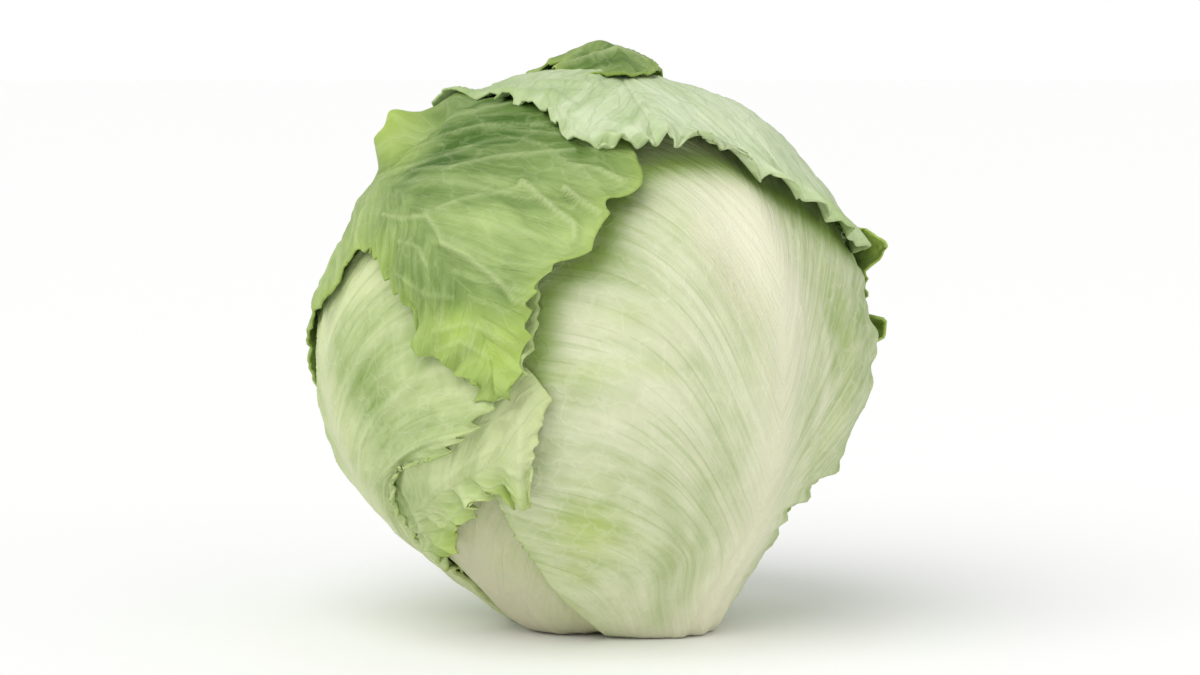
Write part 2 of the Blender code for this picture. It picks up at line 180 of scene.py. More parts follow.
def between(middle, side, share, along):
    angle = np.arccos(np.clip((middle * side).sum(axis=-1), -1.0, 1.0))
    part, wide = share[..., None], angle[..., None]
    arc = (np.sin((1 - part) * wide) * middle + np.sin(part * wide) * side) / np.sin(wide)
    middleAzimuth, middlePolar = anglesOf(middle)
    sideAzimuth, sidePolar = anglesOf(side)
    turned = (sideAzimuth - middleAzimuth + 180.0) % 360.0 - 180.0
    ring = directionOf(middleAzimuth + share * turned, middlePolar + share * (sidePolar - middlePolar))
    straight = smoothStep(along / 0.3)[..., None]
    return unit(ring * (1 - straight) + arc * straight), angle


# a value that changes along a margin, from pairs of (place from foot to tip, value)
def marginValue(pairs, along):
    places, values = np.array(pairs, float).T
    return np.interp(along, places, values)


# pointed teeth with arches between them, and small nicks, along a margin's length in metres
def teeth(length, size, seed):
    drift = 1.7 * hills(length / (size * 2.6), length * 0 + 0.3, seed)
    arch = 1 - 2 * np.abs(np.sin(math.pi * (length / size + drift))) ** 0.8
    lobes = hills(length / (size * 2.7), length * 0 + 0.7, seed + 3)
    nicks = hills(length / (size * 0.27), length * 0 + 0.1, seed + 7)
    return np.clip(0.5 + 0.6 * lobes, 0.12, 1.0) * arch + 0.4 * lobes + 0.14 * nicks


def ruffles(length, size, seed):
    drift = hills(length / (size * 2.3), length * 0 + 0.5, seed) * 1.3
    wide = np.sin(2 * math.pi * (length / size + drift))
    fine = np.sin(2 * math.pi * (length / (size * 0.41) + 1.7 * drift))
    return wide, fine


plainEdge = {"lift": [(0, 0), (1, 0)], "wave": [(0, 0), (1, 0)], "waveSize": 0.018, "reach": 0.012,
             "teeth": [(0, 0), (1, 0)], "toothSize": 0.006}
plainLeaf = {"cell": 0.0012, "turn": 0.0, "radius": None, "thick": 0.0006, "footThick": 0.0014,
             "rib": {"height": 0.002, "foot": 0.012, "tip": 0.0016, "fade": 1.4, "grooves": 0.0003},
             "veins": {"spacing": 0.010, "height": 0.0004, "width": 0.0014, "sweep": 0.050, "reach": 0.030,
                       "ink": 0.3},
             "blisters": {"size": 0.009, "height": 0.0004}, "sway": {"size": 0.045, "height": 0.0012},
             "left": plainEdge, "right": plainEdge, "tip": plainEdge, "tones": [(0, 90, 0.5)],
             "tints": {}, "bands": {}, "creamLength": 0.7, "swells": [], "folds": [], "seed": 1}


# what every leaf shares; lengths are in metres
blade = {
    "toothBand": 0.2, "tipBand": 0.12,  # outer shares of the blade that the teeth stretch
    "fineWaves": 0.45,  # size of the small ruffles beside the wide ones
    "grooveWidth": 0.0035, "grooveLength": 0.06, "netWobble": 0.006,
    "veinFoot": 0.015, "bladeFoot": 0.03, "creamFoot": 0.045,  # from the foot up, where each starts or ends
    # raised creases take the vein colour, which on the pale-veined leaves is partly painted highlight on the ridge
    "creaseInk": 0.0018, "curlHeight": 0.004,  # a crease this high is palest, and a curl this high isn't inked
    "edgeFade": 0.0035, "toneSoftness": 0.010, "thickLevels": 50,
}


def markAt(azimuth, polar):
    return directionOf(azimuth, footPolar + (polar - drawnFoot) * clearScale)


# distance from a fold that is drawn through (azimuth, polar angle) marks
def foldGap(here, marks, radius):
    azimuth, polar = np.array(marks, float).T
    points = markAt(azimuth, polar) * radius
    gap = np.full(here.shape[:-1], 9.0)
    for start, end in zip(points[:-1], points[1:]):
        run = end - start
        t = np.clip(((here - start) @ run) / (run @ run), 0, 1)
        gap = np.minimum(gap, np.linalg.norm(here - start - t[..., None] * run, axis=-1))
    return gap


# a soft mound round a mark, longer along one way: (azimuth, polar, reach along, reach across, turn)
def mound(here, mark, radius):
    azimuth, polar, reachAlong, reachAcross, turn = mark
    centre = markAt(azimuth, polar)
    east = np.array([math.cos(math.radians(azimuth)), math.sin(math.radians(azimuth)), 0.0])
    north = np.cross(centre, east)
    if north[2] < 0:
        north = -north
    x, y = (here - centre * radius) @ east, (here - centre * radius) @ north
    angle = math.radians(turn)
    along, across = x * math.cos(angle) + y * math.sin(angle), y * math.cos(angle) - x * math.sin(angle)
    return np.exp(-((along / reachAlong) ** 2) - ((across / reachAcross) ** 2))


# a piece from a grid of points, with its UV maps and colour layers; a closed form is welded where its grid meets
def buildPiece(name, points, maps, layers, material, closed=False):
    mesh = bpy.data.meshes.new(name)
    count = points.shape[0] * points.shape[1]
    index = np.arange(count).reshape(points.shape[:2])
    faces = np.stack([index[:-1, :-1], index[:-1, 1:], index[1:, 1:], index[1:, :-1]], axis=-1).reshape(-1, 4)
    mesh.vertices.add(count)
    mesh.vertices.foreach_set("co", points.astype(np.float32).ravel())
    mesh.loops.add(faces.size)
    mesh.loops.foreach_set("vertex_index", faces.ravel().astype(np.int32))
    mesh.polygons.add(len(faces))
    mesh.polygons.foreach_set("loop_start", np.arange(0, faces.size, 4, dtype=np.int32))
    mesh.update(calc_edges=True)
    for mapName, (first, second) in maps.items():
        layer = mesh.uv_layers.new(name=mapName)
        values = np.stack([first.ravel(), second.ravel()], axis=-1)[faces.ravel()]
        layer.uv.foreach_set("vector", values.astype(np.float32).ravel())
    for layerName, values in layers.items():
        layer = mesh.attributes.new(layerName, "FLOAT_COLOR", "POINT")
        layer.data.foreach_set("color", values.astype(np.float32).ravel())
    if closed:
        work = bmesh.new()
        work.from_mesh(mesh)
        bmesh.ops.remove_doubles(work, verts=work.verts, dist=0.000001)
        bmesh.ops.recalc_face_normals(work, faces=work.faces)
        work.to_mesh(mesh)
        work.free()
    mesh.validate()
    mesh.shade_smooth()
    mesh.materials.append(material)
    piece = bpy.data.objects.new(name, mesh)
    bpy.context.scene.collection.objects.link(piece)
    return piece


# thickness inward from the outer face, point by point
def thicken(piece, thickness, most):
    group = piece.vertex_groups.new(name="thick")
    count = blade["thickLevels"]
    levels = np.round(np.clip(thickness / most, 0, 1).ravel() * count).astype(int)
    for level in np.unique(levels):
        group.add(np.nonzero(levels == level)[0].tolist(), level / count, "REPLACE")
    shell = piece.modifiers.new("thickness", "SOLIDIFY")
    shell.thickness, shell.offset = most, -1.0
    shell.vertex_group, shell.thickness_vertex_group = "thick", 0.0


# a leaf: its grid, then its relief, then its colour masks, then its thickness
def growLeaf(name, leaf, material):
    leaf = {**plainLeaf, **leaf}
    leaf["veins"] = {**plainLeaf["veins"], **leaf["veins"]}
    rails, seed, turn, radius = leaf["rails"], leaf["seed"], leaf["turn"], leaf["radius"] or headRadius
    length = railAt(rails["midrib"], 0.0, np.array([0.0]))[2] * radius
    probe = np.linspace(0, 1, 9)
    middle = railAt(rails["midrib"], 0.0, probe)[0]
    sides = [railAt(rails[side], 0.0, probe)[0] for side in ("left", "right")]
    widest = max(np.arccos((middle * side).sum(axis=1)).max() for side in sides) * radius
    rows, columns = math.ceil(length / leaf["cell"]), 2 * math.ceil(widest / leaf["cell"])
    across, along = np.meshgrid(np.linspace(-1, 1, columns + 1), np.linspace(0, 1, rows + 1))
    isRight, share = across > 0, np.abs(across)

    def pick(key, place):
        left, right = (marginValue(leaf[side][key], place) for side in ("left", "right"))
        return np.where(isRight, right, left)

    def pickFixed(key):
        return np.where(isRight, leaf["right"][key], leaf["left"][key])

    # teeth stretch the outer part of the blade, along both margins and the tip
    stations = np.linspace(0, 1, rows + 1)
    marginLengths = {}
    for sideName in ("left", "right"):
        run = railAt(rails[sideName], 0.0, stations)[0]
        steps = np.linalg.norm(np.diff(run, axis=0), axis=1)
        marginLengths[sideName] = np.concatenate([[0], np.cumsum(steps)]) * radius
    sideLength = np.where(isRight, marginLengths["right"][:, None], marginLengths["left"][:, None])
    sideSeed = np.where(isRight, 5.0, 0.0)
    tipEnds = [railAt(rails[rail], 0.0, np.array([1.0]))[0] for rail in ("midrib", "left", "right")]
    tipWidths = [np.arccos((tipEnds[0] * tipSide).sum()) * radius for tipSide in tipEnds[1:]]
    tipLength = 3.0 + across * np.where(isRight, tipWidths[1], tipWidths[0])
    tooth = pick("teeth", along) * teeth(sideLength + sideSeed, pickFixed("toothSize"), seed)
    toothed = smoothStep((share - 1 + blade["toothBand"]) / blade["toothBand"])
    tipTooth = marginValue(leaf["tip"]["teeth"], (across + 1) / 2)
    tipTooth = tipTooth * teeth(tipLength, leaf["tip"]["toothSize"], seed + 2)
    alongCut = along + tipTooth / length * smoothStep((along - 1 + blade["tipBand"]) / blade["tipBand"])
    middle, middleDeep, _ = railAt(rails["midrib"], turn, alongCut)
    leftSide, leftDeep, _ = railAt(rails["left"], turn, alongCut)
    rightSide, rightDeep, _ = railAt(rails["right"], turn, alongCut)
    side = np.where(isRight[..., None], rightSide, leftSide)
    halfWidth = np.arccos(np.clip((middle * side).sum(axis=-1), -1.0, 1.0)) * radius
    shareCut = share * (1 + tooth / halfWidth * toothed)
    ways, _ = between(middle, side, shareCut, along)
    deep = middleDeep + (np.where(isRight, rightDeep, leftDeep) - middleDeep) * share ** 1.5

    # leaf coordinates in metres: from the midrib, from the foot, and along the veins
    fromRib, fromFoot = across * halfWidth, along * length
    veins = leaf["veins"]
    away = np.abs(fromRib)
    swept = fromFoot - veins["sweep"] * np.tanh(away / veins["reach"])

    rib = leaf["rib"]
    ribWidth = rib["tip"] + (rib["foot"] - rib["tip"]) * (1 - along) ** rib["fade"]
    ribShape = np.exp(-((away / ribWidth) ** 2))
    acrossGrooves, alongGrooves = fromRib / blade["grooveWidth"], fromFoot / blade["grooveLength"]
    grooves = rib["grooves"] / rib["height"] * hills(acrossGrooves, alongGrooves, seed + 4)
    ribHeight = rib["height"] * (1 - along) ** 0.9 * ribShape * (1 + grooves)

    line = swept / veins["spacing"] + 0.6 * hills(swept / 0.019, fromRib / 0.023, seed)
    offLine = np.abs(line - np.round(line)) * veins["spacing"]
    thin = np.clip(1 - away / (halfWidth + 0.004), 0, 1)
    veinShape = np.exp(-((offLine / (veins["width"] * (0.45 + 0.75 * thin))) ** 2))
    veinShape = veinShape * smoothStep(away / 0.006) * smoothStep((fromFoot - blade["veinFoot"]) / 0.03)
    sway, blister, wobble = leaf["sway"], leaf["blisters"], blade["netWobble"]
    netX = fromRib / blister["size"] + 0.4 * hills(fromRib / wobble, fromFoot / wobble, seed + 8)
    netY = swept / blister["size"] + 0.4 * hills(fromRib / wobble, fromFoot / wobble, seed + 9)
    nearest, second = cells(netX, netY, seed)
    pillow = smoothStep((second - nearest) * 1.6)
    bladeOnly = smoothStep(away / (ribWidth * 1.6 + 0.002)) * smoothStep((fromFoot - blade["bladeFoot"]) / 0.04)

    # distance to the nearest margin
    fromSide = (1 - share) * halfWidth
    fromTip = (1 - along) * length
    reach, fineWaves = pickFixed("reach"), blade["fineWaves"]
    sideWeight = np.exp(-((fromSide / reach) ** 2))
    fineWeight = np.exp(-((fromSide / (reach * fineWaves)) ** 2))
    wide, fine = ruffles(sideLength + sideSeed, pickFixed("waveSize"), seed)
    waves = pick("wave", along)
    edge = pick("lift", along) * sideWeight + waves * (wide * sideWeight + fineWaves * fine * fineWeight)
    tip = leaf["tip"]
    tipWeight = np.exp(-((fromTip / tip["reach"]) ** 2))
    tipFine = np.exp(-((fromTip / (tip["reach"] * fineWaves)) ** 2))
    wide, fine = ruffles(tipLength, tip["waveSize"], seed + 2)
    tipLift = marginValue(tip["lift"], (across + 1) / 2)
    tipWave = marginValue(tip["wave"], (across + 1) / 2)
    edge = edge + tipLift * tipWeight + tipWave * (wide * tipWeight + fineWaves * fine * tipFine)

    relief = ribHeight + veins["height"] * veinShape + blister["height"] * pillow * bladeOnly
    relief = relief + sway["height"] * hills(fromRib / sway["size"], fromFoot / sway["size"], seed + 5) * bladeOnly
    relief = relief + 0.35 * sway["height"] * hills(fromRib / sway["size"] * 3, swept / sway["size"] * 3, seed + 6)
    here = ways * radius
    for mark, height in leaf["swells"]:
        relief = relief + height * mound(here, mark, radius)
    # raised folds take the vein colour, more the higher they stand: part vein colour, part painted highlight on the
    # ridge tops
    foldMask = np.zeros(share.shape)
    for height, width, marks in leaf["folds"]:
        shape = np.exp(-((foldGap(here, marks, radius) / width) ** 2))
        relief = relief + height * shape
        ink = min(0.7, max(0.0, height / blade["creaseInk"])) * (height < blade["curlHeight"])
        foldMask = np.maximum(foldMask, shape ** 2 * ink)
    outside = layerForm(ways, radius) - deep * layerPitch + relief + edge
    outside = np.minimum(outside, cutDistance(ways))
    points = leaned(ways * outside[..., None]) + headCentre
    points[..., 2] = np.maximum(points[..., 2], groundGap)

    # how green each place is, from marks on the head, where some marks make a hollow under an overhang greener as
    # painted shade; then the tints laid over that: deep is painted shade, white is partly painted sheen, brown is
    # partly painted shade at the foot
    tones = np.array(leaf["tones"], float)
    marks = markAt(tones[:, 0], tones[:, 1]) * radius
    weight = 1 / (((here[..., None, :] - marks) ** 2).sum(axis=-1) + blade["toneSoftness"] ** 2) ** 1.6
    tone = (weight * tones[:, 2]).sum(axis=-1) / weight.sum(axis=-1)
    cream = ribShape ** 0.7 * np.clip(1 - along / leaf["creamLength"], 0, 1) ** 0.6
    cream = np.maximum(cream, smoothStep(1 - fromFoot / blade["creamFoot"]) * 0.9)
    margin = np.exp(-np.minimum(fromSide, fromTip) / blade["edgeFade"])
    veinMask = np.maximum(veins["ink"] * veinShape, foldMask)
    masks = np.stack([tone, cream, margin, veinMask], axis=-1)
    tints = {tint: np.zeros(share.shape) for tint in ("lime", "white", "brownAndFootShade", "deep")}
    for tint, marks in leaf["tints"].items():
        for strength, *mark in marks:
            tints[tint] = np.maximum(tints[tint], strength * mound(here, mark, radius))
    for tint, bands in leaf["bands"].items():
        for strength, width, marks in bands:
            band = np.exp(-((foldGap(here, marks, radius) / width) ** 2))
            tints[tint] = np.maximum(tints[tint], strength * band)
    tints = np.stack(list(tints.values()), axis=-1)

    maps = {"leaf": (fromRib, fromFoot), "swept": (fromRib, swept)}
    piece = buildPiece(name, points, maps, {"leafMask": masks, "leafTint": tints}, material)

    thickness = leaf["thick"] + (leaf["footThick"] - leaf["thick"]) * (1 - along) ** 2 + ribHeight
    thicken(piece, thickness, leaf["footThick"] + rib["height"])
    return piece


# shader nodes: each helper adds a node and gives back its output
def feed(tree, socket, value):
    if isinstance(value, (int, float, tuple)):
        socket.default_value = value
    elif value is not None:
        tree.links.new(value, socket)


def addNode(tree, kind, inputs, output=0, **settings):
    node = tree.nodes.new("ShaderNode" + kind)
    for key, value in settings.items():
        setattr(node, key, value)
    for key, value in inputs.items():
        feed(tree, node.inputs[key], value)
    return node.outputs[output]


def addMath(tree, operation, first, second, clamp=False):
    return addNode(tree, "Math", {0: first, 1: second}, operation=operation, use_clamp=clamp)


def plus(tree, first, second, clamp=False):
    return addMath(tree, "ADD", first, second, clamp)


def times(tree, first, second, clamp=False):
    return addMath(tree, "MULTIPLY", first, second, clamp)


def addMix(tree, factor, first, second):
    return addNode(tree, "Mix", {0: factor, 6: first, 7: second}, 2, data_type="RGBA")


def addScaled(tree, vector, scale):
    return addNode(tree, "VectorMath", {0: vector, 1: scale}, operation="MULTIPLY")


def addNoise(tree, vector, scale, detail, rough=0.55, output="Fac"):
    inputs = {"Vector": vector, "Scale": scale, "Detail": detail, "Roughness": rough}
    return addNode(tree, "TexNoise", inputs, output, noise_dimensions="2D")


def addVoronoi(tree, vector, scale, feature="F1"):
    return addNode(tree, "TexVoronoi", {"Vector": vector, "Scale": scale}, "Distance", voronoi_dimensions="2D",
                   feature=feature)


# rises smoothly from the first to the last value as the input goes from low to high
def addWindow(tree, value, low, high, first=0.0, last=1.0):
    inputs = {"Value": value, "From Min": low, "From Max": high, "To Min": first, "To Max": last}
    return addNode(tree, "MapRange", inputs, "Result", interpolation_type="SMOOTHSTEP")


def uvOf(tree, name):
    return addNode(tree, "UVMap", {}, "UV", uv_map=name)


# the four masks that a piece's colour layer carries
def masksOf(tree, name):
    node = tree.nodes.new("ShaderNodeAttribute")
    node.attribute_name = name
    parts = tree.nodes.new("ShaderNodeSeparateColor")
    feed(tree, parts.inputs[0], node.outputs["Color"])
    return (*parts.outputs, node.outputs["Alpha"])


def newGroup(name, inputs, outputs):
    tree = bpy.data.node_groups.new(name, "ShaderNodeTree")
    for key, value in inputs.items():
        kind = "NodeSocketColor" if isinstance(value, tuple) else "NodeSocketFloat"
        tree.interface.new_socket(name=key, in_out="INPUT", socket_type=kind).default_value = value
    for key in outputs:
        kind = "NodeSocketColor" if key == "Color" else "NodeSocketFloat"
        tree.interface.new_socket(name=key, in_out="OUTPUT", socket_type=kind)
    return tree, tree.nodes.new("NodeGroupInput").outputs, tree.nodes.new("NodeGroupOutput").inputs


# fine lines that follow the veins, and the net of small veins between them
def makeVeinPattern():
    tree, given, made = newGroup("veinPattern", {"Line Size": 1.0, "Net Size": 1.0},
                                 ("Lines", "Dark Lines", "Net", "Height"))
    swept, flat = uvOf(tree, "swept"), uvOf(tree, "leaf")

    def sized(vector, key):
        return addNode(tree, "VectorMath", {0: vector, "Scale": given[key]}, operation="SCALE")

    lines = addNoise(tree, sized(addScaled(tree, swept, (24.0, 300.0, 1.0)), "Line Size"), 1.0, 5.0, 0.66)
    thin = addNoise(tree, sized(addScaled(tree, swept, (17.0, 520.0, 1.0)), "Line Size"), 1.0, 2.0, 0.5)
    dark = addWindow(tree, thin, 0.60, 0.72)
    wobble = addNoise(tree, flat, 150.0, 2.0, 0.5, "Color")
    bent = addNode(tree, "VectorMath", {0: wobble, 1: (0.007, 0.007, 0.0), 2: addScaled(tree, swept, (0.7, 1.0, 1.0))},
                   operation="MULTIPLY_ADD")
    net = addWindow(tree, addVoronoi(tree, sized(bent, "Net Size"), 170.0, "DISTANCE_TO_EDGE"), 0.0, 0.13, 1.0, 0.0)
    grain = addNoise(tree, flat, 1500.0, 2.0)
    height = plus(tree, times(tree, lines, 0.6), times(tree, net, 0.28))
    height = plus(tree, height, times(tree, grain, 0.14))
    height = addMath(tree, "SUBTRACT", height, times(tree, dark, 0.25))
    for key, value in (("Lines", lines), ("Dark Lines", dark), ("Net", net), ("Height", height)):
        feed(tree, made[key], value)
    return tree


# what every leaf's finish starts from; the finishes below change parts of it
plainLook = {
    "Pale": (0.65, 0.69, 0.46), "Green": (0.20, 0.32, 0.035), "Cream": (0.80, 0.78, 0.59), "Vein": (0.76, 0.80, 0.56),
    # Rust: browning, and painted shade at the foot of the leaves
    "Streak": (0.30, 0.41, 0.13), "Edge": (0.36, 0.50, 0.12), "Lime": (0.48, 0.60, 0.14), "Rust": (0.42, 0.33, 0.15),
    "Line Strength": 0.5, "Streak Strength": 0.16, "Net Strength": 0.2, "Vein Strength": 0.5, "Edge Strength": 0.4,
    "Line Size": 1.0, "Net Size": 1.0, "Cloud Strength": 0.9, "bump": 0.5, "bumpDistance": 0.0006, "gloss": 0.25,
    "glow": 0.08, "glowRadius": (0.6, 1.0, 0.25), "glowScale": 0.0016,
}


def withAlpha(value):
    return (*value, 1.0) if isinstance(value, tuple) else value


# the leaf's colour from its tone, cream rib, veins, margin and tints; of these the deep tint is painted shade, the
# white tint partly painted sheen and the brown tint partly painted shade at the foot
def makeLeafPaint(veinPattern):
    inputs = {key: withAlpha(value) for key, value in plainLook.items() if key[0].isupper()}
    tree, given, made = newGroup("leafPaint", inputs, ("Color", "Roughness", "Height"))
    tone, cream, margin, vein = masksOf(tree, "leafMask")
    # deep: painted shade under overhanging margins; white: whitish patches and painted sheen; brown: browning, and
    # painted shade at the foot
    lime, white, brownAndFootShade, deep = masksOf(tree, "leafTint")
    pattern = tree.nodes.new("ShaderNodeGroup")
    pattern.node_tree = veinPattern
    for key in ("Line Size", "Net Size"):
        feed(tree, pattern.inputs[key], given[key])
    flat = uvOf(tree, "leaf")
    lines = times(tree, addMath(tree, "SUBTRACT", pattern.outputs["Lines"], 0.5), given["Line Strength"])
    clouds = addNoise(tree, flat, 46.0, 5.0, 0.62)
    smears = addNoise(tree, addScaled(tree, uvOf(tree, "swept"), (26.0, 105.0, 1.0)), 1.0, 4.0, 0.6)
    patches = times(tree, addMath(tree, "SUBTRACT", plus(tree, clouds, smears), 1.0), given["Cloud Strength"])
    bare = addMath(tree, "SUBTRACT", 1.0, times(tree, cream, 0.8), True)
    streaks = times(tree, pattern.outputs["Dark Lines"], given["Streak Strength"])
    creamPart = plus(tree, cream, times(tree, lines, -0.6), True)
    specks = addNoise(tree, flat, 850.0, 2.0)

    colour = addMix(tree, plus(tree, plus(tree, tone, lines), patches, True), given["Pale"], given["Green"])
    coats = (  # how much of each colour goes over the ones before
        # whitish patches, part of them painted sheen
        (times(tree, white, 0.8, True), "Cream"),
        (times(tree, plus(tree, lime, times(tree, lines, 0.5)), lime, True), "Lime"),
        (times(tree, pattern.outputs["Net"], given["Net Strength"]), "Vein"),
        (times(tree, vein, given["Vein Strength"]), "Vein"),
        (times(tree, streaks, bare, True), "Streak"),
        (times(tree, creamPart, addMath(tree, "POWER", cream, 0.4), True), "Cream"),
        # painted shade: the deep tint darkens to green under overhanging margins
        (plus(tree, deep, times(tree, lines, times(tree, deep, 0.6)), True), "Green"),
        (times(tree, margin, given["Edge Strength"], True), "Edge"),
        # rust-brown specks: browning, and painted shade at the foot
        (times(tree, plus(tree, specks, -0.25), times(tree, brownAndFootShade, 1.6), True), "Rust"),
    )
    for amount, key in coats:
        colour = addMix(tree, amount, colour, given[key])
    rough = plus(tree, times(tree, specks, 0.18), times(tree, pattern.outputs["Lines"], 0.14))
    feed(tree, made["Color"], colour)
    feed(tree, made["Roughness"], plus(tree, rough, 0.34))
    feed(tree, made["Height"], pattern.outputs["Height"])
    return tree


leafPaint = makeLeafPaint(makeVeinPattern())


def leafNodes(tree, look):
    paint = tree.nodes.new("ShaderNodeGroup")
    paint.node_tree = leafPaint
    for socket in paint.inputs:
        socket.default_value = withAlpha(look[socket.name])
    return [paint.outputs[key] for key in ("Color", "Roughness", "Height")]


# a material whose colour, roughness and height come from the nodes that addPaint makes
def newMaterial(name, addPaint, look):
    material = bpy.data.materials.new(name)
    material.use_nodes = True
    tree = material.node_tree
    shader = tree.nodes["Principled BSDF"]
    colour, rough, height = addPaint(tree, look)
    bump = {"Strength": look["bump"], "Distance": look["bumpDistance"], "Height": height}
    sockets = {"Base Color": colour, "Roughness": rough, "Normal": addNode(tree, "Bump", bump, "Normal"),
               "Specular IOR Level": look["gloss"], "Subsurface Weight": look["glow"],
               "Subsurface Radius": look["glowRadius"], "Subsurface Scale": look["glowScale"]}
    for key, value in sockets.items():
        feed(tree, shader.inputs[key], value)
    return material


leafLooks = {
    "paleLeaf": {"Line Strength": 0.75, "Streak Strength": 0.3, "Line Size": 1.15},
    "baseLeaf": {
        "Pale": (0.57, 0.57, 0.38), "Green": (0.36, 0.44, 0.16), "Cream": (0.60, 0.58, 0.41),
        "Vein": (0.66, 0.66, 0.47), "Streak": (0.42, 0.44, 0.24), "Edge": (0.52, 0.58, 0.24),
        "Lime": (0.48, 0.58, 0.16),
        "Line Strength": 0.7, "Streak Strength": 0.3, "Net Strength": 0.14, "Vein Strength": 0.4, "Edge Strength": 0.3,
        "Cloud Strength": 1.0,
    },
    "capLeaf": {
        "Pale": (0.61, 0.70, 0.46), "Green": (0.22, 0.35, 0.08), "Cream": (0.66, 0.72, 0.50),
        "Vein": (0.24, 0.36, 0.13), "Streak": (0.30, 0.43, 0.17), "Edge": (0.44, 0.57, 0.22),
        "Lime": (0.34, 0.50, 0.08),
        "Line Size": 0.8, "Net Size": 0.8, "bump": 0.6,
    },
    "shoulderLeaf": {
        # Green is dark enough to stand for the painted shade in the hollow under the cap, besides the leaf's own dark
        # green
        "Pale": (0.45, 0.58, 0.21), "Green": (0.055, 0.130, 0.010), "Cream": (0.50, 0.60, 0.33),
        "Vein": (0.56, 0.66, 0.33), "Streak": (0.085, 0.17, 0.025), "Edge": (0.38, 0.52, 0.10),
        "Lime": (0.40, 0.54, 0.11), "Line Strength": 0.3, "Streak Strength": 0.1, "Net Strength": 0.12,
        "Vein Strength": 0.75, "Edge Strength": 0.5, "Line Size": 0.9, "Net Size": 0.8, "Cloud Strength": 0.8,
        "bump": 0.65, "gloss": 0.22,
    },
    "sideLeaf": {
        "Pale": (0.61, 0.69, 0.36), "Green": (0.15, 0.27, 0.03), "Cream": (0.66, 0.70, 0.46),
        "Vein": (0.64, 0.71, 0.42), "Streak": (0.19, 0.30, 0.06), "Edge": (0.42, 0.54, 0.13),
        "Lime": (0.41, 0.55, 0.09),
        "Line Strength": 0.42, "Vein Strength": 0.6, "Edge Strength": 0.3, "Line Size": 0.95, "Net Size": 0.9,
        "Cloud Strength": 0.8, "bump": 0.6, "gloss": 0.22,
    },
    "heartLeaf": {
        "Pale": (0.78, 0.78, 0.46), "Green": (0.56, 0.62, 0.26), "Cream": (0.82, 0.80, 0.62),
        "Vein": (0.84, 0.82, 0.60), "Streak": (0.5, 0.55, 0.24), "Edge": (0.66, 0.70, 0.30), "Lime": (0.6, 0.66, 0.2),
        "Streak Strength": 0.2, "Net Strength": 0.15, "Vein Strength": 0.4, "Edge Strength": 0.5, "Line Size": 0.8,
        "Cloud Strength": 0.7, "gloss": 0.3, "glow": 0.10,
    },
}
leafMaterials = {name: newMaterial(name, leafNodes, {**plainLook, **look}) for name, look in leafLooks.items()}
print("lettuce: materials made")
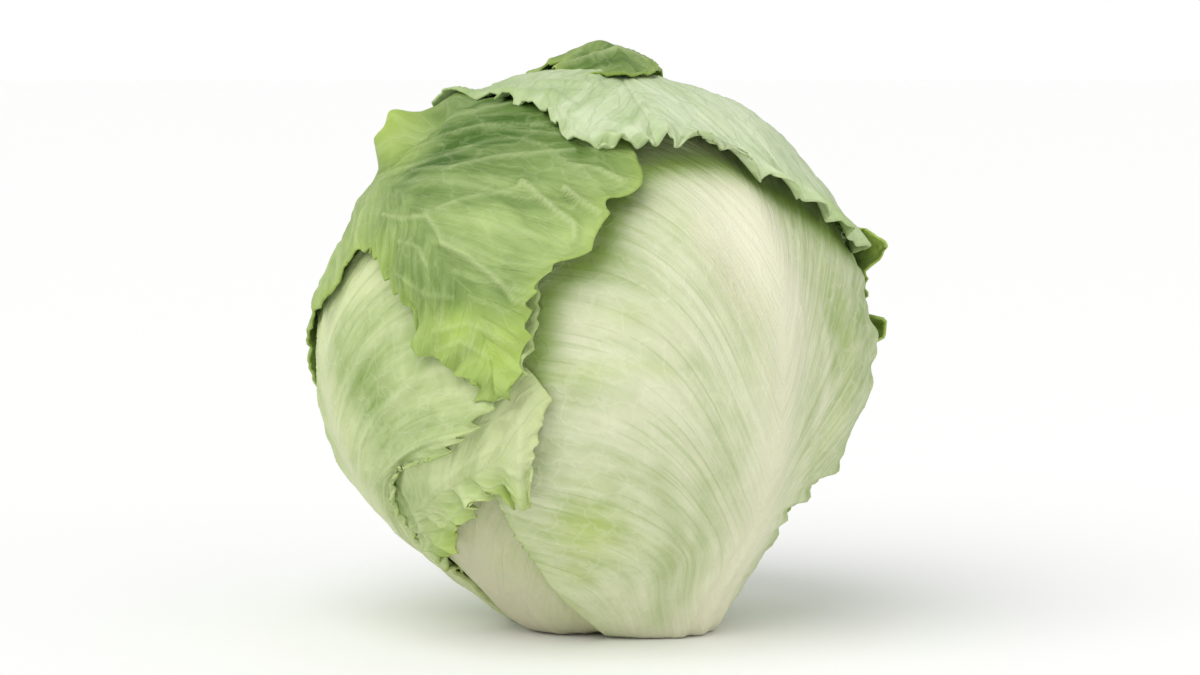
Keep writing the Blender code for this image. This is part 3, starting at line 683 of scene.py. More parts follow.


# the outer leaves, in metres and degrees. rails: (azimuth, polar angle, leaves deep) from foot to tip.
# folds: (height, width, marks). tones: (azimuth, polar angle, how green). bands: (strength, width, marks).
# tints: (strength, then a mound). The deep tint is painted shade, the white tint partly painted sheen, the brown tint
# partly painted shade at the foot.
frontLeaf = {  # the broad front leaf, with its thick midrib
    "rails": {
        "midrib": [(46, 12, 0), (40, 30, 0), (45, 45, 0.3), (42, 60, 1.0), (41, 78, 1.6), (43, 92, 2.0),
            (46, 108, 2.0), (49, 125, 2.5), (48, 140, 3.2), (45, 151, 3.6)],
        "left": [(-12, 12, 0.1), (-16, 24, 0.1), (-25, 34, 0.2), (-26, 46, 0.7), (-27, 60, 1.5), (-28, 75, 2.4),
            (-28, 90, 3.3), (-24, 110, 4.2), (-12, 130, 4.3), (10, 146, 4.3), (30, 153, 4.3)],
        "right": [(98, 12, 0), (92, 25, 0), (78, 37, 0), (67, 47, -0.3), (74, 56, -1.0), (82, 64, -1.3),
            (86, 76, -1.0), (88, 90, 0), (90, 103, 1.0), (86, 120, 2.4), (75, 138, 3.4), (60, 150, 3.8)],
    },
    "cell": 0.0011, "seed": 1,
    "rib": {"height": 0.0032, "foot": 0.015, "tip": 0.004, "fade": 1.1, "grooves": 0.0008},
    "veins": {"spacing": 0.0068, "height": 0.00022, "width": 0.0014, "sweep": 0.07, "reach": 0.032},
    "blisters": {"size": 0.011, "height": 0.00025}, "sway": {"size": 0.05, "height": 0.001},
    "right": {"lift": [(0, 0), (0.2, 0), (0.3, -0.0005), (0.65, 0), (1, 0)],
        "wave": [(0, 0), (0.2, 0.0004), (0.3, 0.0014), (0.6, 0.0008), (0.75, 0), (1, 0)], "waveSize": 0.016,
        "reach": 0.01, "teeth": [(0, 0), (0.2, 0.001), (0.28, 0.003), (0.6, 0.002), (0.8, 0), (1, 0)],
        "toothSize": 0.0095},
    "left": {**plainEdge, "teeth": [(0, 0), (0.2, 0.001), (1, 0.001)]},
    "folds": [(0.0007, 0.0012, [(52, 24), (50, 45), (49, 70), (50, 95)]),
        (0.0006, 0.001, [(60, 26), (57, 45), (56, 65), (58, 88)]),
        (0.0005, 0.001, [(40, 22), (34, 40), (30, 58), (22, 75)]),
        (0.0005, 0.0009, [(66, 30), (66, 50), (68, 70), (71, 86)]),
        (0.0005, 0.001, [(-2, 84), (3, 76), (9, 66), (13, 58)])],
    "tones": [(38, 20, 0.05), (30, 122, 0.0), (41, 118, 0.0), (45, 105, 0.0), (8, 104, 0.3), (-4, 104, 0.3),
        (-3, 112, 0.45), (15, 116, 0.3), (0, 84, 0.4), (-6, 85, 0.25), (14, 90, 0.25), (0, 74, 0.25), (-12, 76, 0.25),
        (36, 79, 0.05), (46, 77, 0.2), (56, 89, 0.45), (65, 88, 0.6), (61, 68, 0.4), (70, 62, 0.5), (60, 105, 0.35),
        (70, 112, 0.6), (38, 37, 0.12), (25, 28, 0.15), (7, 42, 0.22), (-11, 45, 0.3), (43, 91, 0.1), (21, 64, 0.1),
        (10, 61, 0.15), (24, 100, 0.2), (32, 93, 0.15), (10, 130, 0.6), (45, 130, 0.5), (85, 50, 0.4), (85, 90, 0.6),
        (-20, 50, 0.25), (-25, 80, 0.4)],
    "bands": {
        # painted shade: deep green along the shoulder leaf's margin and under the cap's brim, and two fainter deep
        # green bands lower down
        "deep": [(0.8, 0.0055, [(26, 133), (18, 130), (12, 125), (9, 121), (8, 117), (5, 113), (-2, 110), (-6, 107),
            (-8, 103), (-9, 97), (-12, 91)]), (0.8, 0.0055,
            [(26, 133), (36, 133), (46, 131), (54, 125), (62, 118), (72, 110), (84, 103)]),
            (0.3, 0.0045, [(12, 66), (18, 50), (17, 36), (15, 26)]), (0.25, 0.004, [(24, 60), (27, 45), (24, 30)])],
        "lime": [(0.45, 0.003, [(-4, 92), (6, 91), (16, 88)])],
        "white": [(0.5, 0.004, [(-4, 96), (4, 98), (12, 96), (18, 90)])],
    },
    "tints": {
        # whitish patches on the rib and blade, partly painted sheen
        "white": [(1.2, 42, 112, 0.016, 0.024, -15), (0.9, 47, 98, 0.013, 0.02, 0), (0.6, 0, 99, 0.02, 0.006, 0),
            (0.5, 16, 95, 0.015, 0.008, -30), (0.6, 10, 82, 0.016, 0.01, 20), (0.5, 22, 64, 0.008, 0.022, 15),
            (0.4, 0, 68, 0.014, 0.005, -10), (0.6, 57, 78, 0.003, 0.03, 0), (0.5, 0, 33, 0.016, 0.006, 0)],
        # faint browning high on the rib, and painted shade at the foot
        "brownAndFootShade": [(0.28, 34, 104, 0.006, 0.016, 20), (0.3, 30, 16, 0.03, 0.006, 0)],
        "lime": [(0.5, 0, 90, 0.02, 0.005, 0), (0.8, -6, 52, 0.014, 0.016, 0), (0.5, -14, 40, 0.01, 0.01, 0),
            (0.4, 6, 48, 0.01, 0.01, 0), (0.35, -4, 66, 0.016, 0.008, 0), (0.4, 8, 100, 0.018, 0.006, 0),
            (0.45, 66, 84, 0.006, 0.022, 0), (0.5, 64, 70, 0.006, 0.016, -20), (0.35, 26, 118, 0.01, 0.008, 0)],
    },
    "creamLength": 1.0,
}

baseLeaf = {  # the bare leaf base at the lower left
    "rails": {
        "midrib": [(-55, 12, 0.1), (-56, 30, 0.3), (-54, 42, 0.8), (-54, 52, 1.4), (-52, 75, 3.7), (-48, 100, 5.1),
            (-42, 140, 5.2)],
        "left": [(-80, 12, 0.3), (-84, 23, 0.8), (-90, 34, 1.9), (-93, 44, 2.8), (-98, 57, 3.6), (-100, 75, 4.3),
            (-92, 100, 5.2), (-65, 142, 5.2)],
        "right": [(-14, 12, 0.4), (-15, 20, 1.0), (-13, 30, 1.6), (-12, 50, 2.4), (-10, 75, 3.8), (-10, 100, 5.2),
            (-20, 140, 5.3)],
    },
    "cell": 0.0015, "seed": 2, "creamLength": 1.2,
    "rib": {"height": 0.0012, "foot": 0.014, "tip": 0.003, "fade": 1.2, "grooves": 0.0004},
    "veins": {"spacing": 0.008, "height": 0.0002, "width": 0.001, "sweep": 0.05, "reach": 0.03},
    "blisters": {"size": 0.011, "height": 0.0002}, "sway": {"size": 0.04, "height": 0.0008},
    "tones": [(-50, 20, 0.1), (-50, 45, 0.25), (-60, 60, 0.4), (-30, 60, 0.4), (-50, 100, 0.6), (-30, 30, 0.3),
        (-70, 30, 0.25)],
    "folds": [(0.0005, 0.001, [(-44, 14), (-42, 30), (-36, 50)]), (0.0004, 0.0009, [(-62, 14), (-66, 30), (-68, 48)]),
        (0.0004, 0.0009, [(-32, 14), (-28, 28), (-22, 45)])],
    "tints": {
        # painted shade at the foot
        "brownAndFootShade": [(0.5, -50, 15, 0.03, 0.007, 0)],
        "lime": [(0.4, -34, 44, 0.014, 0.01, 0)],
        "white": [(0.4, -50, 34, 0.01, 0.014, 0)],
    },
}

flapLeaf = {  # comes out from under the left leaf, and frills over the front one
    "rails": {
        "midrib": [(-118, 12, 1.0), (-112, 30, 1.3), (-95, 46, 1.2), (-72, 56, 0.9), (-46, 65, 0.5), (-28, 72, 0.3),
            (-12, 78, 0.2)],
        "left": [(-138, 12, 1.5), (-136, 40, 2.6), (-122, 65, 3.2), (-95, 85, 3.2), (-60, 95, 3.0), (-30, 97, 2.5),
            (-13, 93, 2.1), (-8, 86, 1.7)],
        "right": [(-98, 12, 0.9), (-90, 26, 1.1), (-79, 37, 0.9), (-66, 45, 0.4), (-52, 52, 0.2), (-37, 60, -0.2),
            (-28, 67, -0.3), (-23, 68, 0), (-19, 64, 0.2), (-15, 70, 0.2)],
    },
    "cell": 0.0009, "seed": 3, "creamLength": 0.4,
    "rib": {"height": 0.0008, "foot": 0.008, "tip": 0.0015, "fade": 1.2, "grooves": 0.0002},
    "veins": {"spacing": 0.01, "height": 0.0005, "width": 0.0014, "sweep": 0.03, "reach": 0.03},
    "blisters": {"size": 0.008, "height": 0.0004}, "sway": {"size": 0.026, "height": 0.001},
    "right": {"lift": [(0, 0), (0.35, 0.0005), (0.6, 0.0012), (1, 0.001)],
        "wave": [(0, 0), (0.35, 0.001), (0.5, 0.0019), (0.75, 0.0019), (1, 0.0013)], "waveSize": 0.011,
        "reach": 0.008, "teeth": [(0, 0), (0.35, 0.001), (0.5, 0.004), (0.75, 0.0038), (1, 0.0028)],
        "toothSize": 0.0085},
    "tip": {"lift": [(0, 0.0005), (1, 0.001)], "wave": [(0, 0.0006), (1, 0.001)], "waveSize": 0.01, "reach": 0.007,
        "teeth": [(0, 0.001), (0.5, 0.002), (1, 0.002)], "toothSize": 0.007},
    "folds": [(0.0012, 0.0016, [(-44, 75), (-50, 68), (-53, 60), (-60, 52)]),
        (0.0018, 0.0016, [(-14, 84), (-16, 74), (-18, 66)]), (-0.0018, 0.002, [(-19, 82), (-21, 74), (-22, 67)]),
        (0.0014, 0.0016, [(-57, 66), (-60, 58), (-63, 50)]), (0.0014, 0.0012, [(-46, 62), (-41, 57), (-36, 55)]),
        (-0.0014, 0.0014, [(-50, 60), (-45, 55)]), (0.0013, 0.0012, [(-31, 70), (-28, 64), (-25, 60)]),
        (-0.0012, 0.0014, [(-35, 68), (-32, 62)]), (0.0006, 0.001, [(-48, 64), (-38, 70), (-30, 74), (-24, 77)]),
        (0.0006, 0.001, [(-46, 58), (-38, 63), (-30, 67), (-26, 69)])],
    # the zero tones at the right tip lighten a part that the folds shade: painted light
    "tones": [(-29, 71, 0.2), (-43, 57, 0.35), (-12, 76, 0.15), (-23, 64, 0.2), (-38, 73, 0.15), (-49, 66, 0.4),
        (-14, 86, 0.0), (-16, 72, 0.1), (-20, 75, 0.0), (-33, 78, 0.15), (-52, 69, 0.45), (-60, 52, 0.5),
        (-100, 40, 0.6), (-70, 80, 0.6)],
    "tints": {
        "lime": [(0.9, -42, 55, 0.024, 0.009, 35), (0.8, -22, 65, 0.012, 0.009, 0)],
        # painted light: a whitish mound on the right tip, which the folds shade
        "white": [(0.5, -14, 74, 0.007, 0.018, 0)],
    },
}

leftLeaf = {  # makes the left side
    "rails": {
        "midrib": [(-100, 12, 0), (-96, 30, 0), (-84, 45, 0.1), (-72, 60, 0.2), (-69, 76, 0.6), (-68, 90, 0.9),
            (-68, 105, 1.4), (-65, 125, 2.6), (-58, 143, 3.0)],
        "left": [(-114, 12, 0.1), (-113, 23, 0.4), (-114, 34, 1.2), (-118, 48, 2.4), (-120, 75, 3.6), (-120, 95, 3.8),
            (-114, 115, 3.6), (-102, 133, 3.6), (-80, 145, 3.4)],
        "right": [(-86, 12, 0.3), (-84, 26, 0.4), (-74, 42, 0.2), (-61, 57, -0.1), (-53, 68, -0.5), (-42, 76, -0.6),
            (-34, 77, -0.7), (-28, 80, -0.7), (-20, 85, -0.5), (-13, 90, 0.2), (-8, 102, 1.3), (-10, 120, 2.4),
            (-22, 136, 2.9), (-38, 146, 2.9)],
    },
    "cell": 0.0011, "seed": 4, "creamLength": 1.0,
    "rib": {"height": 0.0018, "foot": 0.012, "tip": 0.003, "fade": 1.0, "grooves": 0.0004},
    "veins": {"spacing": 0.012, "height": 0.0006, "width": 0.0015, "sweep": 0.04, "reach": 0.035},
    "blisters": {"size": 0.009, "height": 0.0004}, "sway": {"size": 0.036, "height": 0.0012},
    "right": {"lift": [(0, 0), (0.25, 0.0003), (0.4, 0.001), (0.7, 0.001), (0.85, 0), (1, 0)],
        "wave": [(0, 0), (0.2, 0.0005), (0.4, 0.0009), (0.7, 0.0009), (0.85, 0), (1, 0)], "waveSize": 0.012,
        "reach": 0.007, "teeth": [(0, 0), (0.2, 0.0006), (0.38, 0.002), (0.46, 0.0048), (0.62, 0.0045), (0.8, 0),
        (1, 0)], "toothSize": 0.0085},
    "folds": [(0.0005, 0.001, [(-72, 62), (-71, 80), (-72, 100), (-70, 112)]),
        (0.0005, 0.001, [(-78, 55), (-78, 80), (-79, 105)]),
        (0.0006, 0.0009, [(-66, 76), (-52, 82), (-42, 88), (-34, 92)]),
        (0.0006, 0.0009, [(-66, 86), (-54, 94), (-44, 101), (-38, 106)]),
        (0.0006, 0.0009, [(-64, 68), (-52, 73), (-42, 78), (-32, 82)]),
        (0.0005, 0.0009, [(-67, 96), (-58, 106), (-52, 112)])],
    "swells": [((-99, 97, 0.024, 0.02, 0), -0.0022)],
    "tones": [(-48, 92, 0.95), (-56, 112, 0.0), (-68, 82, 0.05), (-52, 71, 0.2), (-63, 98, 0.2), (-70, 92, 0.1),
        (-33, 88, 0.35), (-27, 84, 0.3), (-23, 81, 0.35), (-58, 102, 0.25), (-44, 102, 0.45), (-61, 80, 0.3),
        (-38, 80, 0.4), (-60, 73, 0.35), (-41, 84, 0.4), (-75, 50, 0.15), (-95, 80, 0.4), (-110, 60, 0.5),
        (-30, 105, 0.5)],
}

shoulderLeaf = {  # the darker leaf, draped down the front in two steps
    "rails": {
        "midrib": [(-134, 12, 0), (-134, 40, -0.2), (-132, 75, 0.2), (-118, 108, 0.9), (-94, 131, 1.3),
            (-55, 133, 0.7), (-30, 117, 0.1), (-20, 103, -0.2), (-17, 88, -0.7)],
        "left": [(-152, 12, 0.2), (-154, 24, 0.8), (-160, 42, 1.3), (-165, 75, 1.2), (-168, 110, 1.3),
            (-160, 140, 1.3), (-120, 166, 1.1), (0, 166, 1.1), (18, 150, 1.1), (21, 134, 0.8), (18, 125, 0.2),
            (9, 122, 0.1), (7, 117, -0.5), (4, 113, -0.6), (-3, 111, -0.5), (-7, 108, -0.3), (-9, 104, -0.3),
            (-10, 98, -0.6), (-13, 92, -0.7), (-15, 87, -0.7)],
        "right": [(-119, 12, 0), (-120, 24, -0.1), (-117, 35, -0.3), (-109, 68, 0.3), (-92, 94, 0.3),
            (-74, 105, 0.25), (-64, 110, 0.2), (-60, 116, 0.3), (-50, 118, 0.3), (-44, 114, 0.2), (-40, 110, 0),
            (-34, 105, -0.2), (-34, 97, -0.4), (-27, 95, -0.6), (-23, 92, -0.7), (-20, 87, -0.7)],
    },
    "cell": 0.001, "seed": 5, "creamLength": 0.5,
    "rib": {"height": 0.0016, "foot": 0.012, "tip": 0.0012, "fade": 1.6, "grooves": 0.0003},
    "veins": {"spacing": 0.017, "height": 0.0003, "width": 0.0015, "sweep": 0.045, "reach": 0.045},
    "blisters": {"size": 0.011, "height": 0.0005}, "sway": {"size": 0.028, "height": 0.0014},
    "left": {"lift": [(0, 0), (0.55, -0.001), (0.76, -0.001), (0.84, 0.001), (1, 0.002)],
        "wave": [(0, 0), (0.78, 0), (0.86, 0.0012), (1, 0.0014)], "waveSize": 0.022, "reach": 0.009,
        "teeth": [(0, 0), (0.78, 0), (0.86, 0.0016), (1, 0.0018)], "toothSize": 0.011},
    "right": {"lift": [(0, 0), (0.7, 0), (0.8, 0.0008), (1, 0.001)],
        "wave": [(0, 0), (0.4, 0.0002), (0.7, 0.0003), (0.76, 0.0012), (1, 0.0014)], "waveSize": 0.015,
        "reach": 0.008, "teeth": [(0, 0), (0.4, 0.0006), (0.65, 0.001), (0.75, 0.0028), (1, 0.0028)],
        "toothSize": 0.009},
    "tip": {"lift": [(0, 0.001), (1, 0.001)], "wave": [(0, 0.0006), (1, 0.0006)], "waveSize": 0.01, "reach": 0.007,
        "teeth": [(0, 0.001), (1, 0.001)], "toothSize": 0.006},
    "folds": [(0.0078, 0.004, [(-92, 142), (-89, 145), (-86, 147)]),
        (0.0042, 0.0046, [(-86, 150), (-80, 154), (-70, 159)]),
        (-0.003, 0.0045, [(-78, 139), (-74, 146), (-70, 152)]),
        (0.0009, 0.001, [(-51, 126), (-42, 124), (-34, 124), (-29, 120), (-27, 117)]),
        (0.0012, 0.001, [(-27, 117), (-21, 114), (-15, 109), (-12, 105), (-9, 104)]),
        (-0.0009, 0.0012, [(-25, 113), (-19, 110), (-14, 106)]),
        (0.0008, 0.001, [(-31, 125), (-24, 127), (-16, 127), (-9, 128)]),
        (0.002, 0.0012, [(-10, 129), (-6, 125), (-2, 121), (1, 118), (1, 115)]),
        (-0.0014, 0.0014, [(-12, 125), (-8, 120), (-3, 116)]), (0.0018, 0.0011, [(0, 126), (5, 121), (7, 119)]),
        (-0.0012, 0.0012, [(-2, 126), (3, 120)]), (0.0014, 0.0011, [(2, 132), (9, 130), (14, 126)]),
        (-0.001, 0.0013, [(2, 129), (9, 127), (12, 124)]),
        (0.0007, 0.001, [(-29, 101), (-22, 102), (-16, 99), (-12, 96)]),
        (0.0006, 0.0009, [(-30, 97), (-24, 99), (-18, 95)]),
        (0.0009, 0.0012, [(-50, 137), (-33, 136), (-20, 138), (-8, 137), (4, 137)]),
        (0.0006, 0.001, [(-46, 149), (-30, 150), (-14, 147), (0, 143)]),
        (0.0006, 0.001, [(-40, 119), (-33, 117), (-30, 113)]), (0.0006, 0.0009, [(-37, 112), (-31, 108), (-25, 107)]),
        (-0.0007, 0.0012, [(-62, 132), (-54, 127), (-46, 128)])],
    "swells": [((-24, 147, 0.026, 0.009, 0), -0.0022), ((-20, 119, 0.02, 0.012, 20), 0.0026),
        ((-42, 132, 0.01, 0.016, 0), 0.0012), ((-24, 106, 0.012, 0.008, 0), -0.001),
        ((4, 128, 0.014, 0.008, -20), 0.0014), ((-36, 114, 0.008, 0.006, 0), 0.0012)],
    # the greenest marks, high up under the cap's brim, are painted shade in the hollow there; the others are the leaf's
    # own green
    "tones": [(-24, 146, 1.1), (-43, 143, 1.0), (-4, 145, 1.0), (-34, 137, 0.85), (-33, 128, 0.5), (-43, 122, 0.55),
        (-20, 124, 0.4), (0, 119, 0.15), (-22, 106, 0.6), (-29, 111, 0.6), (-14, 96, 0.4), (0, 134, 0.55),
        (-20, 118, 0.5), (-12, 140, 0.85), (14, 125, 0.3), (6, 118, 0.25), (-62, 140, 0.5), (-62, 118, 0.3),
        (-75, 126, 0.35), (-90, 120, 0.35), (-88, 100, 0.35), (-130, 60, 0.4), (-130, 110, 0.6), (15, 150, 0.9),
        (18, 138, 0.6)],
    "tints": {
        "lime": [(1.0, -15, 96, 0.015, 0.011, 0), (0.9, -24, 101, 0.014, 0.009, 0), (1.0, -88, 146, 0.012, 0.012, 0),
            (0.6, -66, 142, 0.01, 0.016, 0), (0.5, -44, 116, 0.008, 0.012, 0), (0.5, -70, 122, 0.01, 0.014, 0)],
    },
}

capLeaf = {  # comes over the crown from behind, and hangs as a toothed brim
    "rails": {
        "midrib": [(152, 12, 0.1), (154, 40, 0.7), (156, 80, 0.7), (155, 120, 0.3), (140, 155, 0), (60, 165, -0.1),
            (36, 150, -0.1), (28, 134, -0.2)],
        "left": [(138, 12, 0.1), (136, 26, 0.1), (134, 42, 0.3), (128, 65, 0.4), (119, 86, 0.2), (108, 100, 0.1),
            (98, 105, -0.1), (86, 101, -0.4), (70, 109, -0.4), (58, 116, -0.4), (50, 126, -0.3), (43, 133, -0.3)],
        "right": [(170, 12, 0.1), (173, 26, 0.5), (178, 42, 0.9), (-175, 75, 0.6), (-160, 108, 0), (-138, 132, 0),
            (-120, 143, 0.1), (-102, 150, 0.2), (-86, 155, 0.2), (-60, 160, 0.3), (-42, 161, 0.3), (-20, 156, 0.2),
            (-5, 149, 0.1), (2, 140, 0), (13, 135, -0.1)],
    },
    "cell": 0.0012, "seed": 6, "creamLength": 0.6,
    "rib": {"height": 0.0014, "foot": 0.012, "tip": 0.001, "fade": 1.8, "grooves": 0.0003},
    "veins": {"spacing": 0.02, "height": 0.0004, "width": 0.0014, "sweep": 0.045, "reach": 0.05},
    "blisters": {"size": 0.012, "height": 0.0004}, "sway": {"size": 0.03, "height": 0.0012},
    "left": {"lift": [(0, 0), (0.45, 0), (0.6, 0.0008), (1, 0.001)],
        "wave": [(0, 0), (0.45, 0), (0.6, 0.0016), (1, 0.002)], "waveSize": 0.014, "reach": 0.009,
        "teeth": [(0, 0), (0.45, 0), (0.55, 0.003), (1, 0.0038)], "toothSize": 0.0115},
    "right": {"lift": [(0, 0), (0.6, 0.0002), (0.8, 0.0006), (1, 0.0012)],
        "wave": [(0, 0), (0.45, 0), (0.6, 0.0004), (0.8, 0.0009), (1, 0.0014)], "waveSize": 0.012, "reach": 0.007,
        "teeth": [(0, 0), (0.45, 0), (0.6, 0.0008), (0.75, 0.0024), (1, 0.003)], "toothSize": 0.0075},
    "tip": {"lift": [(0, 0.0008), (1, 0.0014)], "wave": [(0, 0.0018), (1, 0.002)], "waveSize": 0.0125, "reach": 0.008,
        "teeth": [(0, 0.0035), (1, 0.0042)], "toothSize": 0.0105},
    "folds": [(0.0066, 0.004, [(-92, 142), (-89, 145), (-86, 147)]),
        (0.0042, 0.0046, [(-86, 150), (-80, 154), (-70, 159)]),
        (-0.0005, 0.0005, [(42, 159), (33, 149), (30, 141), (28, 137)]), (-0.0004, 0.0005, [(69, 143), (50, 136)]),
        (-0.0004, 0.0004, [(25, 162), (12, 158)]), (-0.0004, 0.0004, [(33, 149), (22, 147)]),
        (-0.0004, 0.0004, [(30, 141), (38, 138)]), (0.0009, 0.0014, [(-30, 159), (-12, 158), (0, 155), (8, 149)]),
        (0.0007, 0.0012, [(-10, 162), (8, 160), (22, 156)])],
    "tones": [(31, 146, 0.15), (63, 135, 0.0), (3, 154, 0.25), (68, 120, 0.15), (42, 159, 0.3), (13, 141, 0.1),
        (-12, 158, 0.3), (46, 140, 0.05), (67, 128, 0.1), (75, 112, 0.3), (-60, 158, 0.5), (-90, 148, 0.5),
        (120, 150, 0.3), (150, 90, 0.3), (-150, 100, 0.4), (120, 90, 0.4), (150, 50, 0.3)],
    "tints": {
        "lime": [(0.5, -95, 148, 0.012, 0.01, 0), (0.6, 36, 131, 0.006, 0.004, 0), (0.7, 74, 112, 0.01, 0.006, -40),
            (0.5, 15, 137, 0.005, 0.004, 0)],
        "white": [(0.6, 60, 134, 0.014, 0.012, 0)],
    },
}

rightLeaf = {  # the dark tips at the right
    "rails": {
        "midrib": [(121, 12, 0.1), (124, 40, 0.8), (128, 75, 1.6), (126, 105, 1.6), (118, 138, 1.8)],
        "left": [(106, 12, 0.1), (104, 28, 0.1), (97, 45, 0), (95, 56, -0.6), (97, 68, -0.4), (95, 78, -0.3),
            (93, 86, -2.0), (99, 91, 0.2), (97, 96, -1.6), (92, 102, -4.8), (100, 109, 0.6), (103, 118, 1.6),
            (106, 130, 1.8), (110, 140, 1.9)],
        "right": [(131, 12, 0.2), (133, 24, 1.2), (142, 40, 1.8), (152, 75, 1.9), (150, 105, 1.9), (132, 138, 1.9)],
    },
    "cell": 0.0012, "seed": 7, "creamLength": 0.4,
    "veins": {"spacing": 0.01, "height": 0.0006, "width": 0.0014, "sweep": 0.04, "reach": 0.035},
    "blisters": {"size": 0.008, "height": 0.0005}, "sway": {"size": 0.03, "height": 0.0012},
    "left": {"lift": [(0, 0), (0.25, 0.0003), (0.4, 0.0006), (0.6, 0.0005), (0.75, 0), (1, 0)],
        "wave": [(0, 0), (0.25, 0.0006), (0.4, 0.0014), (0.65, 0.0014), (0.8, 0), (1, 0)], "waveSize": 0.014,
        "reach": 0.01, "teeth": [(0, 0), (0.2, 0.0012), (0.35, 0.003), (0.7, 0.003), (0.85, 0), (1, 0)],
        "toothSize": 0.014},
    "tones": [(120, 40, 0.4), (125, 90, 0.6), (110, 120, 0.6), (95, 80, 0.75), (98, 100, 0.5), (95, 60, 0.5)],
    "tints": {
        "lime": [(1.2, 93, 102, 0.013, 0.012, 0), (0.9, 94, 84, 0.009, 0.011, 0)],
    },
}

innerRightLeaf = {  # under the outer leaves at the right
    "rails": {
        "midrib": [(96, 12, 1.3), (97, 40, 1.8), (97, 75, 2.7), (96, 105, 3.4), (90, 135, 5.2)],
        "left": [(72, 12, 1.3), (62, 40, 1.8), (56, 75, 3.5), (56, 105, 4.5), (62, 132, 5.3)],
        "right": [(118, 12, 1.3), (132, 40, 2.6), (140, 75, 3.1), (136, 105, 3.2), (116, 135, 5.2)],
    },
    "cell": 0.0018, "seed": 8, "tones": [(96, 30, 0.2), (96, 80, 0.5), (90, 125, 0.6)],
}

backLeaf = {  # under the outer leaves at the back
    "rails": {
        "midrib": [(165, 12, 1.3), (168, 40, 2.2), (172, 75, 2.8), (175, 105, 3.0), (178, 140, 3.2)],
        "left": [(145, 12, 1.4), (150, 40, 2.6), (150, 75, 2.9), (150, 105, 3.0), (155, 140, 3.2)],
        "right": [(-172, 12, 1.4), (-160, 40, 2.2), (-152, 75, 2.5), (-150, 105, 2.7), (-158, 140, 3.1)],
    },
    "cell": 0.0018, "seed": 9, "tones": [(168, 30, 0.2), (172, 80, 0.5), (178, 130, 0.6)],
}

crownLeaf = {  # runs up the back, and ends in the folded tip
    "rails": {
        "midrib": [(-166, 12, 0), (-168, 40, -0.6), (-172, 80, -1.0), (-176, 120, -1.1), (-178, 150, -1.3),
            (160, 166, -2.0), (102, 170, -3.9), (72, 166, -2.3), (38, 158, -0.9)],
        "left": [(-180, 12, 0), (168, 40, -0.6), (158, 80, -0.7), (151, 115, -0.8), (140, 142, -0.8),
            (122, 153, -0.8), (98, 158, -1.1), (78, 158, -1.3), (62, 157, -1.0)],
        "right": [(-157, 12, 0), (-155, 25, -0.8), (-149, 40, -1.1), (-144, 80, -0.9), (-146, 115, -1.1),
            (-152, 142, -1.1), (-156, 162, -0.9), (-160, 174, -0.8), (110, 178, -1.0), (5, 172, -0.8),
            (2, 167, -0.3)],
    },
    "cell": 0.0012, "seed": 10, "creamLength": 0.9,
    "rib": {"height": 0.0018, "foot": 0.012, "tip": 0.0014, "fade": 1.2, "grooves": 0.0003},
    "veins": {"spacing": 0.012, "height": 0.0005, "width": 0.0014, "sweep": 0.04, "reach": 0.035},
    "sway": {"size": 0.035, "height": 0.0012},
    "left": {"lift": [(0, 0), (0.3, 0.0004), (0.8, 0.001), (1, 0.0005)],
        "wave": [(0, 0), (0.2, 0.0006), (0.8, 0.001), (1, 0.0006)], "waveSize": 0.024, "reach": 0.01,
        "teeth": [(0, 0), (0.2, 0.0012), (0.8, 0.0016), (1, 0.001)], "toothSize": 0.013},
    "right": {"lift": [(0, 0), (0.3, 0.0004), (0.8, 0.001), (1, 0.0005)],
        "wave": [(0, 0), (0.2, 0.0006), (0.8, 0.001), (1, 0.0006)], "waveSize": 0.026, "reach": 0.01,
        "teeth": [(0, 0), (0.2, 0.0012), (0.8, 0.0016), (1, 0.001)], "toothSize": 0.012},
    "tip": {"lift": [(0, 0), (0.5, 0.0005), (1, 0)], "wave": [(0, 0.0004), (1, 0.0004)], "waveSize": 0.012,
        "reach": 0.006, "teeth": [(0, 0.0012), (1, 0.0012)], "toothSize": 0.01},
    "folds": [(0.0016, 0.0014, [(0, 171), (40, 172), (74, 167), (84, 161)]),
        (-0.0014, 0.003, [(10, 167), (40, 163), (60, 159)])],
    # the greenest marks, at the folded tip, are partly painted shade on its hollow face
    "tones": [(-170, 40, 0.3), (-170, 100, 0.4), (165, 100, 0.6), (-155, 100, 0.6), (180, 150, 0.7), (120, 168, 0.8),
        (-150, 172, 0.6), (100, 160, 0.7), (30, 166, 0.9), (60, 160, 0.9), (-20, 172, 0.6)],
    "tints": {
        "lime": [(0.5, 140, 172, 0.01, 0.006, 0)],
    },
}


def place(piece, node, slotName):
    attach(piece, "root")
    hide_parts(node)


outerLeaves = [
    ("front_leaf", frontLeaf, "paleLeaf", "leaf_pale"),
    ("base_leaf", baseLeaf, "baseLeaf", "leaf_pale"),
    ("flap_leaf", flapLeaf, "sideLeaf", "leaf_green"),
    ("left_leaf", leftLeaf, "sideLeaf", "leaf_green"),
    ("shoulder_leaf", shoulderLeaf, "shoulderLeaf", "leaf_green"),
    ("cap_leaf", capLeaf, "capLeaf", "leaf_pale"),
    ("right_leaf", rightLeaf, "shoulderLeaf", "leaf_green"),
    ("inner_right_leaf", innerRightLeaf, "paleLeaf", "leaf_pale"),
    ("back_leaf", backLeaf, "paleLeaf", "leaf_pale"),
    ("crown_leaf", crownLeaf, "shoulderLeaf", "leaf_green"),
]
for node, leaf, finish, slotName in outerLeaves:
    place(growLeaf(node + "_look", leaf, leafMaterials[finish]), node, slotName)
print("lettuce: outer leaves grown")

